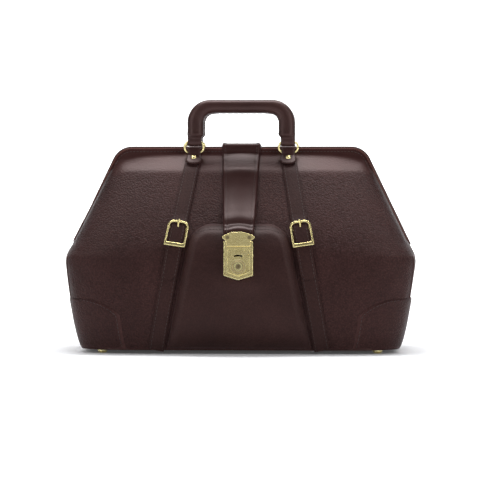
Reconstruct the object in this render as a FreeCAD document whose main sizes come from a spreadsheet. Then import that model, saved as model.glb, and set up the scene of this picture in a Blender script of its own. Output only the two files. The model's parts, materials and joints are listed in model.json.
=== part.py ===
import FreeCAD, Part
import math
import os

import Sketcher
from FreeCAD import Placement, Rotation, Vector

# A leather doctor bag on a two-part hinged steel frame.
# X runs along the bag, -Y is its front, Z is up. The origin is on the floor plane under its middle.

DIMENSIONS = {
    # body
    "foot_height": 4.5,
    "floor_half_length": 193.0,
    "hinge_half_length": 215.5,
    "floor_half_depth": 86.0,
    "hinge_half_depth": 91.0,
    "side_bulge": 24.0,
    "hinge_height": 118.0,
    "crown_height": 251.0,
    "shoulder_slope": 0.48,
    "shoulder_radius": 26.0,
    "leather": 2.4,
    "seam_half_depth": 62.0,
    "seam_gap": 0.2,
    "crease_half_depth": 34.5,
    "band_foot_height": 219.5,
    "band_crown_height": 244.0,
    # base
    "base_half_length": 189.0,
    "base_half_depth": 80.0,
    "base_corner": 44.0,
    "base_leather": 2.5,
    "board_thickness": 3.5,
    "foot_radius": 6.0,
    "foot_x": 167.0,
    "foot_y": 62.0,
    "stem_radius": 1.5,
    # frame
    "rail_gap": 0.5,
    "rail_depth": 9.0,
    "rail_width": 11.0,
    "steel_thickness": 2.5,
    "steel_width": 6.0,
    "steel_inset": 2.5,
    "tab_radius": 7.0,
    "tab_thickness": 1.8,
    "tab_inner_x": 205.2,
    "pin_radius": 2.5,
    "pin_play": 0.06,
    "stay_thickness": 1.8,
    "stay_width": 18.0,
    "stay_length": 44.0,
    # pocket and straps
    "pocket_height": 157.0,
    "pocket_half_top": 57.5,
    "pocket_half_foot": 88.0,
    "pocket_stand_off": 12.5,
    "strap_width": 18.4,
    "strap_thickness": 1.8,
    "strap_top_x": 61.5,
    "strap_foot_x": 100.0,
    "strap_top_height": 218.5,
    "strap_tip_height": 89.0,
    "patch_length": 74.0,
    "patch_height": 62.0,
    "patch_thickness": 1.5,
    # buckles
    "buckle_width": 26.0,
    "buckle_height": 34.0,
    "buckle_wire": 2.6,
    "buckle_bar": 4.6,
    "buckle_shoulder": 8.0,
    "buckle_centre_height": 143.0,
    "buckle_lift": 6.2,
    "bar_radius": 1.0,
    "bar_lift": 2.25,
    "bar_rise": 7.5,
    "tongue_radius": 1.1,
    # flap and lock
    "flap_top_width": 48.0,
    "flap_foot_width": 36.5,
    "flap_thickness": 3.4,
    "lock_tilt": 11.0,
    "lock_width": 35.0,
    "lock_foot": 89.5,
    "lock_side_foot": 95.0,
    "lock_top": 136.0,
    "lock_depth": 5.6,
    "lock_wall": 1.0,
    "knob_height": 105.0,
    "knob_radius": 9.5,
    "spindle_radius": 4.6,
    "plug_radius": 3.1,
    "slot_arc_radius": 14.0,
    "cam_radius": 7.7,
    "cam_pin_radius": 0.8,
    "knob_half_turn": 25.0,
    "hasp_foot": 130.0,
    "hasp_wing": 140.5,
    "hasp_crown": 147.5,
    "hasp_thickness": 1.2,
    "hasp_rivet_radius": 1.1,
    # rings and handles
    "handle_half_span": 58.0,
    "ring_foot_height": 238.5,
    "ring_width": 25.0,
    "ring_drop": 13.0,
    "ring_wire_radius": 1.25,
    "chape_width": 14.5,
    "chape_thickness": 3.0,
    "handle_radius": 8.0,
    "handle_bore": 4.2,
    "handle_top": 308.0,
    "handle_corner": 30.0,
    "rivet_radius": 4.0,
    "rivet_height": 2.2,
    "rivet_play": 0.06,
}

doc = FreeCAD.newDocument("doctor_bag")
sheet = doc.addObject("Spreadsheet::Sheet", "Dims")
for row, (alias, value) in enumerate(DIMENSIONS.items(), start=1):
    sheet.set("A%d" % row, alias)
    sheet.set("B%d" % row, str(value))
    sheet.setAlias("B%d" % row, alias)
doc.recompute()

SIDES = {"left": -1, "right": 1}
FACES = {"front": -1, "back": 1}
SUB_PARTS = []


def dim(alias):
    return float(sheet.get(alias))


def bind(item, **expressions):
    """Ties an object's sizes to the sheet; a double underscore stands for a dot."""
    for name, expression in expressions.items():
        item.setExpression(name.replace("__", "."), expression)
    return item


def sub_part(item, label):
    item.Label = label
    SUB_PARTS.append(item)
    return item


def feature(label, shape, placement=None):
    """A sub-part whose shape is made with Part's own functions."""
    item = doc.addObject("Part::Feature", label)
    item.Shape = shape
    if placement is not None:
        item.Placement = placement.multiply(shape.Placement)
    return sub_part(item, label)


# ---------------------------------------------------------------- the bag's outer surface

def half_length(height):
    """Half the bag's length, seen from the front: it swells to the hinges, then slopes in."""
    hinge = dim("hinge_height")
    if height > hinge:
        return dim("hinge_half_length") - dim("shoulder_slope") * (height - hinge)
    share = max(height - dim("foot_height"), 0) / (hinge - dim("foot_height"))
    swell = dim("hinge_half_length") - dim("floor_half_length")
    return dim("floor_half_length") + swell * share ** 0.62


def half_depth(height):
    """Half the bag's depth at its middle: walls that lean in to a crease, then flatter bands."""
    hinge, low = dim("hinge_height"), dim("foot_height")
    crease, band_foot = dim("crease_half_depth"), dim("band_foot_height")
    if height > band_foot:
        share = (height - band_foot) / (dim("crown_height") + 1 - band_foot)
        return crease * (1 - min(share, 1))
    if height > hinge:
        share = (height - hinge) / (band_foot - hinge)
        return dim("hinge_half_depth") - (dim("hinge_half_depth") - crease) * share ** 1.25
    share = (height - low) / (hinge - low)
    lean = dim("hinge_half_depth") - dim("floor_half_depth")
    return dim("floor_half_depth") + lean * share + dim("side_bulge") * share * (1 - share)


def roundness(height):
    """The two exponents of the plan: boxy below the hinges, rounder near the mouth."""
    hinge = dim("hinge_height")
    share = math.sqrt(max(height - hinge, 0) / (dim("crown_height") - hinge))
    return 6 - 1.6 * share, 6 - 3.6 * share


def plan_point(angle, height, offset=0.0):
    """A point of the plan outline at a height, by the angle from the front's middle."""
    along, across = roundness(height)
    length, depth = half_length(height) + offset, half_depth(height) + offset
    sine, cosine = math.sin(angle), math.cos(angle)
    x = math.copysign(length * abs(sine) ** (2 / along), sine)
    y = -math.copysign(depth * abs(cosine) ** (2 / across), cosine)
    return Vector(x, y, height)


def front_y(x, height, offset=0.0):
    """How far forward the outer surface stands at a point of the front."""
    along, across = roundness(height)
    share = min(abs(x) / (half_length(height) + offset), 1)
    return -(half_depth(height) + offset) * (1 - share ** along) ** (1 / across)


def outline(height, offset, first=-90, last=90, steps=16):
    """A smooth stretch of the plan outline, at an offset from the outer surface."""
    angles = [math.radians(first + (last - first) * n / steps) for n in range(steps + 1)]
    curve = Part.BSplineCurve()
    curve.interpolate([plan_point(a, height, offset) for a in angles])
    return curve.toShape()


def half_ring(heights, outer, inner):
    """The front half of a wall that follows the outer surface between two offsets."""
    wires = []
    for height in heights:
        out, back = outline(height, outer), outline(height, inner)
        ends = [(out.Vertexes[n].Point, back.Vertexes[n].Point) for n in (0, -1)]
        caps = [Part.makeLine(*pair) for pair in ends]
        wires.append(Part.Wire(Part.__sortEdges__([out, caps[1], back, caps[0]])))
    return Part.makeLoft(wires, True)


def filled(heights, offset):
    """Everything inside the outer surface, at an offset, between the first and last height."""
    wires = []
    for height in heights:
        curve = Part.BSplineCurve()
        angles = [math.radians(360 * n / 64) for n in range(64)]
        curve.interpolate([plan_point(a, height, offset) for a in angles], PeriodicFlag=True)
        wires.append(Part.Wire(curve.toShape()))
    return Part.makeLoft(wires, True)


def box(low, high):
    size = [high[n] - low[n] for n in range(3)]
    return Part.makeBox(*size, Vector(*low))


def mirrored(shape):
    """The same piece for the back of the bag."""
    return shape.mirror(Vector(0, 0, 0), Vector(0, 1, 0))


def for_face(shape, face):
    return shape if face == "front" else mirrored(shape)


# ---------------------------------------------------------------- base

def plate_body(label, half_x, half_y, corner, thickness, bottom):
    """A rounded plate: a sketched rectangle, padded, its upright edges filleted."""
    body = doc.addObject("PartDesign::Body", label)
    sketch = origin_sketch(body, "XY_Plane")
    rectangle(sketch, "2 * " + half_x, "2 * " + half_y)
    bind(sketch, AttachmentOffset__Base__z=bottom)
    pad = body.newObject("PartDesign::Pad", "Pad")
    pad.Profile = sketch
    bind(pad, Length=thickness)
    doc.recompute()
    upright = [
        "Edge%d" % (n + 1)
        for n, edge in enumerate(pad.Shape.Edges)
        if abs(edge.tangentAt(edge.FirstParameter).z) > 0.99
    ]
    fillet = body.newObject("PartDesign::Fillet", "Corners")
    fillet.Base = (pad, upright)
    bind(fillet, Radius=corner)
    body.Tip = fillet
    return body


def origin_sketch(body, role):
    sketch = body.newObject("Sketcher::SketchObject", "Sketch")
    plane = [p for p in body.Origin.OriginFeatures if p.Role == role][0]
    sketch.AttachmentSupport = [(plane, "")]
    sketch.MapMode = "FlatFace"
    return sketch


def named_constraint(sketch, name, expression, *definition):
    index = sketch.addConstraint(Sketcher.Constraint(*definition))
    sketch.renameConstraint(index, name)
    sketch.setExpression("Constraints." + name, expression)


def rectangle(sketch, width, height, bottom=None):
    """A rectangle centred on the sketch's upright axis, and on its origin unless it has a bottom."""
    corners = [(-8, -5), (8, -5), (8, 5), (-8, 5)]
    first = sketch.GeometryCount
    for start, end in zip(corners, corners[1:] + corners[:1]):
        sketch.addGeometry(Part.LineSegment(Vector(*start, 0), Vector(*end, 0)))
    for n in range(4):
        following = first + (n + 1) % 4
        sketch.addConstraint(Sketcher.Constraint("Coincident", first + n, 2, following, 1))
    directions = ["Horizontal", "Vertical", "Horizontal", "Vertical"]
    for n in range(0 if bottom is None else 1, 4):
        sketch.addConstraint(Sketcher.Constraint(directions[n], first + n))
    number = str(first)
    named_constraint(sketch, "width" + number, width, "DistanceX", first, 1, first, 2, 16.0)
    named_constraint(sketch, "height" + number, height, "DistanceY", first + 1, 1, first + 1, 2, 10.0)
    if bottom is None:
        sketch.addConstraint(Sketcher.Constraint("Symmetric", first, 1, first + 1, 2, -1, 1))
    else:
        sketch.addConstraint(Sketcher.Constraint("Symmetric", first, 1, first, 2, -2))
        named_constraint(sketch, "bottom" + number, bottom, "DistanceY", -1, 1, first, 1, 5.0)


def circle(sketch, radius, x="0", y="0"):
    centre = sketch.addGeometry(Part.Circle(Vector(1, 1, 0), Vector(0, 0, 1), 2))
    number = str(centre)
    named_constraint(sketch, "radius" + number, radius, "Radius", centre, 2.0)
    for axis, name, value in (("DistanceX", "across", x), ("DistanceY", "up", y)):
        if value == "0":
            kind = "PointOnObject"
            line = -2 if axis == "DistanceX" else -1
            sketch.addConstraint(Sketcher.Constraint(kind, centre, 3, line))
        else:
            named_constraint(sketch, name + number, value, axis, -1, 1, centre, 3, 1.0)


def pad_onto(body, sketch, length, kind="PartDesign::Pad"):
    """Pads the sketch, or cuts it right through the body."""
    pad = body.newObject(kind, "Pad" if kind.endswith("Pad") else "Cut")
    pad.Profile = sketch
    if length is None:
        pad.Type = "ThroughAll"
        pad.Midplane = True
    else:
        bind(pad, Length=length)
    body.Tip = pad
    return pad


def base():
    top_of_leather = "Dims.foot_height + Dims.base_leather"
    cover = plate_body(
        "base_cover", "Dims.base_half_length", "Dims.base_half_depth", "Dims.base_corner",
        "Dims.base_leather", "Dims.foot_height",
    )
    board = plate_body(
        "base_board", "(Dims.base_half_length - 3)", "(Dims.base_half_depth - 3)",
        "Dims.base_corner - 3", "Dims.board_thickness", top_of_leather,
    )
    for body in (cover, board):
        sketch = origin_sketch(body, "XY_Plane")
        circle(sketch, "Dims.stem_radius + 0.05")
        for x in ("Dims.foot_x", "-Dims.foot_x"):
            for y in ("Dims.foot_y", "-Dims.foot_y"):
                circle(sketch, "Dims.stem_radius + 0.05", x, y)
        pad_onto(body, sketch, None, "PartDesign::Pocket")
    sub_part(cover, "base_cover")
    sub_part(board, "base_board")
    radius, height = dim("foot_radius"), dim("foot_height")
    dome = Part.makeSphere(radius + 1, Vector(0, 0, radius))
    stud = dome.common(Part.makeCylinder(radius, height)).removeSplitter()
    stem_length = dim("base_leather") + dim("board_thickness") + 1.2
    stud = stud.fuse(Part.makeCylinder(dim("stem_radius"), stem_length, Vector(0, 0, height)))
    studs = [stud]
    for x in (-1, 1):
        for y in (-1, 1):
            studs.append(stud.translated(Vector(x * dim("foot_x"), y * dim("foot_y"), 0)))
    feature("base_feet", Part.makeCompound(studs))


# ---------------------------------------------------------------- lower body

def lower_walls():
    """The stiff lower walls, cut from one half ring at the corner seams."""
    low = dim("foot_height") + 0.2
    top = dim("hinge_height") - 2
    heights = [low + (top - low) * share for share in (0, 0.08, 0.25, 0.5, 0.75, 1)]
    ring = filled(heights, 0).cut(filled(heights, -dim("leather")))
    seam, gap = dim("seam_half_depth"), dim("seam_gap")
    reach = dim("hinge_half_length") + 20
    front = ring.common(box((-reach, -reach, 0), (reach, -seam - gap, top + 5)))
    for face in FACES:
        feature(face + "_panel_lower", for_face(front, face))
    for side, sign in SIDES.items():
        ends = sorted((sign * 100, sign * reach))
        wall = ring.common(box((ends[0], -seam + gap, 0), (ends[1], seam - gap, top + 5)))
        feature("gusset_" + side, wall)


def corner_patches():
    """Quarter-ellipse leather patches over the lower corners, wrapped onto the gussets."""
    low = dim("foot_height") + 0.3
    heights = [low + dim("patch_height") * 1.1 * n / 4 for n in range(5)]
    skin = filled(heights, dim("patch_thickness") + 0.5).cut(filled(heights, 0.5))
    for side, sign in SIDES.items():
        ellipse = Part.Ellipse(Vector(0, 0, 0), dim("patch_length"), dim("patch_height"))
        disc = Part.Face(Part.Wire(ellipse.toShape()))
        disc.Placement = Placement(
            Vector(sign * (dim("floor_half_length") + 4), -30, low), Rotation(Vector(1, 0, 0), 90)
        )
        patch = skin.common(disc.extrude(Vector(0, -80, 0)))
        for face in FACES:
            feature("corner_patch_%s_%s" % (face, side), for_face(patch, face))


# ---------------------------------------------------------------- upper panels and mouth

def upper_panels():
    """The soft panels between the lower walls and the mouth's bands."""
    low, top = dim("hinge_height") - 1.6, dim("band_foot_height") - 0.4
    heights = [low + (top - low) * share for share in (0, 0.15, 0.4, 0.7, 1)]
    ring = half_ring(heights, 0, -dim("leather"))
    clear = -(dim("rail_gap") + dim("rail_depth") + 0.6)
    reach = dim("hinge_half_length") + 20
    panel = ring.common(box((-reach, -reach, 0), (reach, clear, dim("crown_height"))))
    for face in FACES:
        feature(face + "_panel_upper", for_face(panel, face))


def mouth_bands():
    """The stiffened leather bands that slope down from the mouth's rails."""
    low, top = dim("band_foot_height"), dim("band_crown_height")
    heights = [low + (top - low) * n / 4 for n in range(5)]
    ring = half_ring(heights, 0, -dim("leather"))
    clear = -(dim("rail_gap") + dim("rail_depth"))
    reach = dim("hinge_half_length")
    band = ring.common(box((-reach, -reach, 0), (reach, clear, dim("crown_height"))))
    band = band.cut(Part.makeCompound(chape_rivet_holes()))
    for face in FACES:
        feature("mouth_band_" + face, for_face(band, face))


def arch_edges(inset, foot):
    """The mouth's outline in the XZ plane, moved inwards: two legs, two arcs and the crown."""
    slope = dim("shoulder_slope")
    lean = math.hypot(slope, 1)
    crown = dim("crown_height") - inset

    def leg_x(height):
        return dim("hinge_half_length") - slope * (height - dim("hinge_height")) - inset * lean

    radius = dim("shoulder_radius") - inset
    tangent = radius * math.tan(math.atan2(1, slope) / 2)
    corner = Vector(leg_x(crown), 0, crown)
    down = Vector(slope, 0, -1).normalize()
    on_crown = corner - Vector(tangent, 0, 0)
    on_leg = corner + down * tangent
    centre = on_crown - Vector(0, 0, radius)
    middle = centre + (corner - centre).normalize() * radius
    leg_foot = Vector(leg_x(foot), 0, foot)

    def across(point):
        return Vector(-point.x, 0, point.z)

    return [
        Part.makeLine(across(leg_foot), across(on_leg)),
        Part.Arc(across(on_leg), across(middle), across(on_crown)).toShape(),
        Part.makeLine(across(on_crown), on_crown),
        Part.Arc(on_crown, middle, on_leg).toShape(),
        Part.makeLine(on_leg, leg_foot),
    ]


def arch(outer, inner, foot, near, far):
    """An arch-shaped bar between two insets, from one depth to another in front of the middle."""
    outside, inside = arch_edges(outer, foot), arch_edges(inner, foot)
    ends = [
        Part.makeLine(outside[0].Vertexes[0].Point, inside[0].Vertexes[0].Point),
        Part.makeLine(outside[-1].Vertexes[-1].Point, inside[-1].Vertexes[-1].Point),
    ]
    wire = Part.Wire(Part.__sortEdges__(outside + ends + inside))
    bar = Part.Face(wire).extrude(Vector(0, near - far, 0))
    return bar.translated(Vector(0, -near, 0))


def mouth_frame():
    """Each half: a steel arch with hinge tabs, inside a leather-covered rail."""
    gap, inset, width = dim("rail_gap"), dim("steel_inset"), dim("steel_width")
    middle = gap + dim("rail_depth") / 2
    near, far = middle - dim("steel_thickness") / 2, middle + dim("steel_thickness") / 2
    steel_foot = dim("hinge_height") + dim("tab_radius") + 2.5
    steel = arch(inset, inset + width, steel_foot, near, far)
    play = 0.1
    rail = arch(0, dim("rail_width"), steel_foot + 3, gap, gap + dim("rail_depth"))
    channel = arch(inset - play, inset + width + play, steel_foot, near - play, far + play)
    rail = rail.cut(channel)
    for order, face in enumerate(FACES):
        half = for_face(steel, face)
        for sign in SIDES.values():
            half = half.fuse(hinge_tab(sign, FACES[face], order, steel_foot, near, far))
        feature("frame_steel_" + face, half.removeSplitter())
        feature("frame_rail_" + face, for_face(rail, face))


def hinge_tab(sign, facing, order, steel_foot, near, far):
    """A round tab across the pin, with a neck up to the steel arch. The two lie side by side."""
    thickness = dim("tab_thickness")
    inner = dim("tab_inner_x") + order * (thickness + 0.3)
    hinge = dim("hinge_height")
    disc = Part.makeCylinder(
        dim("tab_radius"), thickness, Vector(inner, 0, hinge), Vector(1, 0, 0)
    )
    bore = Part.makeCylinder(
        dim("pin_radius") + dim("pin_play"), thickness, Vector(inner, 0, hinge), Vector(1, 0, 0)
    )
    depths = sorted((facing * near, facing * far))
    neck = box((inner, depths[0], hinge), (inner + thickness, depths[1], steel_foot + 1.5))
    tab = disc.fuse(neck).cut(bore)
    return tab if sign > 0 else tab.mirror(Vector(0, 0, 0), Vector(1, 0, 0))


def hinge_pins_and_stays():
    """A riveted pin through both tabs, held by a steel stay down the inside of the gusset."""
    for side, sign in SIDES.items():
        thickness, hinge = dim("stay_thickness"), dim("hinge_height")
        face_x = dim("tab_inner_x") - 0.3 - thickness
        turn = Rotation(Vector(0, 1, 0), 90 * sign)
        pin = doc.addObject("PartDesign::Body", "hinge_pin_" + side)
        for radius, start, length in (
            ("Dims.pin_radius", "0", "2 * Dims.tab_thickness + Dims.stay_thickness + 2.2"),
            ("Dims.pin_radius + 2", "-1.4", "1.4"),
            ("Dims.pin_radius + 2", "2 * Dims.tab_thickness + Dims.stay_thickness + 0.9", "1.2"),
        ):
            sketch = origin_sketch(pin, "XY_Plane")
            circle(sketch, radius)
            bind(sketch, AttachmentOffset__Base__z=start)
            pad_onto(pin, sketch, length)
        pin.Placement = Placement(Vector(sign * face_x, 0, hinge), turn)
        sub_part(pin, "hinge_pin_" + side)
        stay = doc.addObject("PartDesign::Body", "hinge_stay_" + side)
        sketch = origin_sketch(stay, "YZ_Plane")
        rectangle(sketch, "Dims.stay_width", "Dims.stay_length", "-Dims.stay_length")
        pad_onto(stay, sketch, "Dims.stay_thickness")
        sketch = origin_sketch(stay, "YZ_Plane")
        circle(sketch, "Dims.stay_width / 2")
        pad_onto(stay, sketch, "Dims.stay_thickness")
        sketch = origin_sketch(stay, "YZ_Plane")
        circle(sketch, "Dims.pin_radius + 0.01")
        pad_onto(stay, sketch, None, "PartDesign::Pocket")
        stay_x = face_x if sign > 0 else -face_x - thickness
        stay.Placement = Placement(Vector(stay_x, 0, hinge), Rotation())
        sub_part(stay, "hinge_stay_" + side)


# ---------------------------------------------------------------- front pocket

def pocket_half_width(height):
    share = (height - dim("foot_height")) / (dim("pocket_height") - dim("foot_height"))
    return dim("pocket_half_foot") + (dim("pocket_half_top") - dim("pocket_half_foot")) * share


def pocket_stand_off(height):
    """How far the pocket's face stands out from the bag: it swells out of the base seam."""
    share = min((height - dim("foot_height")) / 45, 1)
    return dim("pocket_stand_off") * math.sin(share * math.pi / 2) ** 0.8


def pocket_section(height):
    """The pocket wall in plan: out from the bag, across the front and back again."""
    half = pocket_half_width(height)
    stand, wall = pocket_stand_off(height), dim("leather")
    profile = ((0, 0.0), (1.5, 0.55), (4.5, 0.85), (10, 1.0), (26, 1.0))

    def wall_line(shift, lift_shift):
        points = []
        for step, share in profile:
            x = half - shift - step
            lift = max(share * stand - lift_shift, 0.0) + 0.8
            points.append((x, front_y(x, height) - lift))
        left = [(-x, y) for x, y in points]
        return left + [(0, front_y(0, height) - max(stand - lift_shift, 0.0) - 0.8)] + points[::-1]

    outer, inner = wall_line(0, 0), wall_line(wall, wall)
    loop = outer + inner[::-1]
    return Part.makePolygon([Vector(x, y, height) for x, y in loop + loop[:1]])


def front_pocket():
    low, top = dim("foot_height") + 6.5, dim("pocket_height")
    sections = [pocket_section(low + (top - low) * n / 14) for n in range(15)]
    wall = Part.makeLoft(sections, True, True)
    holes = [lock_local(Part.makeCylinder(1.1, 14, Vector(x, 8, z), Vector(0, -1, 0)))
             for x, z in LOCK_SCREWS]
    feature("front_pocket", wall.cut(Part.makeCompound(holes)))


# ---------------------------------------------------------------- straps

def strap_x(height):
    """The straps run from the handle chapes outwards to the base."""
    low, top = dim("foot_height"), dim("strap_top_height")
    share = (height - low) / (top - low)
    return dim("strap_foot_x") + (dim("strap_top_x") - dim("strap_foot_x")) * share


def strap_piece(stations, width, tip=0.0):
    """A flat strap laid on the front: each station is a height and how high the strap lies."""
    sections = []
    for number, (height, lift) in enumerate(stations):
        half = width / 2 if number or not tip else tip / 2
        x = strap_x(height)
        ends = (x - half, x + half)
        under = [Vector(e, front_y(e, height) - lift, height) for e in ends]
        over = [p - Vector(0, dim("strap_thickness") * slant(height), 0) for p in under]
        sections.append(Part.makePolygon([under[0], under[1], over[1], over[0], under[0]]))
    return Part.makeLoft(sections, True, True)


def slant(height):
    """A strap's thickness along Y grows as the surface leans back."""
    rise = 4.0
    run = half_depth(height - rise) - half_depth(height + rise)
    return math.hypot(run, 2 * rise) / (2 * rise)


def for_side(shape, side):
    return shape if side == "right" else shape.mirror(Vector(0, 0, 0), Vector(1, 0, 0))


def straps():
    """The lower strap holds the buckle; the upper one lies over it and over the buckle's bar."""
    top, tip, buckle = dim("strap_top_height"), dim("strap_tip_height"), dim("buckle_centre_height")
    low, bar = dim("foot_height") + 0.5, buckle + dim("bar_rise")
    lower = [(low + (buckle - 6 - low) * n / 14, 0.8) for n in range(15)]
    billet = [(tip, 3.1), (tip + 10, 3.1), (buckle - 24, 3.1), (buckle - 8, 3.1),
              (bar - 4.5, 4.1), (bar + 2, 4.3), (bar + 6.5, 2.3), (bar + 14, 0.7)]
    billet += [(bar + 14 + (top - bar - 14) * n / 3, 0.7) for n in (1, 2, 3)]
    width = dim("strap_width")
    strap = strap_piece(billet, width, tip=7)
    slot = buckle_local(Part.makeBox(3.6, 14, 12, Vector(-1.8, -12, dim("bar_rise") - 4.5)))
    for side in SIDES:
        feature("strap_lower_" + side, for_side(strap_piece(lower, width), side))
        feature("strap_upper_" + side, for_side(strap.cut(slot), side))


# ---------------------------------------------------------------- buckles

def buckle_placement():
    """Where the right buckle lies: on the leaning front, turned with the strap."""
    height = dim("buckle_centre_height")
    x = strap_x(height)
    lean = math.degrees(math.atan2(front_y(x, height + 14) - front_y(x, height - 14), 28))
    spread = (strap_x(height - 10) - strap_x(height + 10)) / 20
    turn = math.degrees(math.atan(spread * math.cos(math.radians(lean))))
    lean_turn = Rotation(Vector(1, 0, 0), -lean) * Rotation(Vector(0, 1, 0), -turn)
    return Placement(Vector(x, front_y(x, height), height), lean_turn)


def buckle_local(shape):
    placed = shape.copy()
    placed.Placement = buckle_placement().multiply(shape.Placement)
    return placed


def side_placement(placement, side):
    """The same placement on either side of the bag, for a piece that is its own mirror image."""
    if side == "right":
        return placement
    base, axis, angle = placement.Base, placement.Rotation.Axis, placement.Rotation.Angle
    turned = Rotation(Vector(axis.x, -axis.y, -axis.z), math.degrees(angle))
    return Placement(Vector(-base.x, base.y, base.z), turned)


def buckle_frame_shape():
    """A rectangle of round wire with wide shoulders, its foot a wider flat bar."""
    wide, tall, wire = dim("buckle_width"), dim("buckle_height"), dim("buckle_wire")
    half, crown = wide / 2, tall / 2

    def loop(inset, foot):
        radius = dim("buckle_shoulder") - inset
        side, top = half - inset, crown - inset
        middle = radius * (1 - math.sqrt(0.5))
        corners = []
        for sign in (1, -1):
            start, end = Vector(sign * side, 0, top - radius), Vector(sign * (side - radius), 0, top)
            bend = Vector(sign * (side - middle), 0, top - middle)
            corners.append((start, bend, end))
        (right, right_bend, over_right), (left, left_bend, over_left) = corners
        low_left, low_right = Vector(-side, 0, foot), Vector(side, 0, foot)
        edges = [
            Part.makeLine(low_left, low_right), Part.makeLine(low_right, right),
            Part.Arc(right, right_bend, over_right).toShape(), Part.makeLine(over_right, over_left),
            Part.Arc(over_left, left_bend, left).toShape(), Part.makeLine(left, low_left),
        ]
        return Part.Face(Part.Wire(edges))

    ring = loop(0, -crown).cut(loop(wire, -crown + dim("buckle_bar")))
    solid = ring.extrude(Vector(0, -wire, 0))
    rounded = solid.makeFillet(wire * 0.36, solid.Edges)
    return rounded.translated(Vector(0, -dim("buckle_lift") + wire / 2, 0))


def buckles():
    frame = buckle_frame_shape()
    inside = dim("buckle_width") / 2 - dim("buckle_wire")
    radius, lift, rise = dim("bar_radius"), dim("bar_lift"), dim("bar_rise")
    cheek = dim("buckle_lift") - lift
    across = Vector(1, 0, 0)
    bar = Part.makeCylinder(radius, 2 * inside - 0.4, Vector(-inside + 0.2, -lift, rise), across)
    for sign in (-1, 1):
        x = sign * (inside - 0.45) - 0.35
        lug = Part.makeBox(0.7, cheek + 0.8, 2.0, Vector(x, -lift - cheek - 0.8, rise - 1.0))
        bar = bar.fuse(lug)
    eye = Part.makeCylinder(radius + 0.9, 3.0, Vector(-1.5, -lift, rise), across)
    bore = Part.makeCylinder(radius + dim("rivet_play"), 3.0, Vector(-1.5, -lift, rise), across)
    rest_lift = dim("buckle_lift") + dim("buckle_wire") / 2 + dim("tongue_radius") + 0.15
    start, knee = Vector(0, -lift - 1.2, rise + 0.4), Vector(0, -rest_lift, rise + 4.5)
    tip = Vector(0, -rest_lift, dim("buckle_height") / 2 + 0.4)
    shank = rod(start, knee, dim("tongue_radius")).fuse(rod(knee, tip, dim("tongue_radius")))
    shank = shank.fuse(Part.makeSphere(dim("tongue_radius"), knee))
    tongue = eye.fuse(shank).cut(bore).removeSplitter()
    for side in SIDES:
        placement = side_placement(buckle_placement(), side)
        feature("buckle_frame_" + side, frame, placement)
        feature("buckle_bar_" + side, bar, placement)
        feature("buckle_tongue_" + side, tongue, placement)


def rod(start, end, radius):
    along = end - start
    return Part.makeCylinder(radius, along.Length, start, along)


# ---------------------------------------------------------------- lock

LOCK_SCREWS = [(-12, -13), (12, -13), (-12, 12), (12, 12)]
HASP_RIVET_X = 13


def lock_placement():
    """The lock's own frame: its origin on the pocket's face, its Z axis up the face."""
    height = (dim("lock_foot") + dim("lock_top")) / 2
    y = front_y(0, height) - pocket_stand_off(height) - 1.6
    return Placement(Vector(0, y, height), Rotation(Vector(1, 0, 0), -dim("lock_tilt")))


def lock_local(shape):
    placed = shape.copy()
    placed.Placement = lock_placement().multiply(shape.Placement)
    return placed


def lock_z(alias):
    """A height along the lock, counted from the middle of its case."""
    return dim(alias) - (dim("lock_foot") + dim("lock_top")) / 2


def shield(inset, top):
    """The lock's outline: upright sides and a shallow point at the foot."""
    half = dim("lock_width") / 2 - inset
    foot, side_foot = lock_z("lock_foot") + inset, lock_z("lock_side_foot") + inset * 0.8
    loop = [(0, foot), (half, side_foot), (half, top), (-half, top), (-half, side_foot), (0, foot)]
    return Part.Face(Part.makePolygon([Vector(x, 0, z) for x, z in loop]))


def slab(face, near, far):
    """A flat piece between two distances in front of the pocket's face."""
    return face.extrude(Vector(0, near - far, 0)).translated(Vector(0, -near, 0))


def arc_slot(width, near, far):
    """The curved slot above the knob."""
    radius, centre = dim("slot_arc_radius"), Vector(0, 0, lock_z("knob_height"))
    band = Part.makeCylinder(radius + width / 2, far - near, centre, Vector(0, -1, 0))
    band = band.cut(Part.makeCylinder(radius - width / 2, far - near, centre, Vector(0, -1, 0)))
    wedge = Part.makePolygon([centre, centre + Vector(-9, 0, 22), centre + Vector(9, 0, 22), centre])
    sector = Part.Face(wedge).extrude(Vector(0, near - far, 0))
    return band.common(sector).translated(Vector(0, -near, 0))


def hole(radius, x, z, near, far):
    return Part.makeCylinder(radius, far - near, Vector(x, -near, z), Vector(0, -1, 0))


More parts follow.
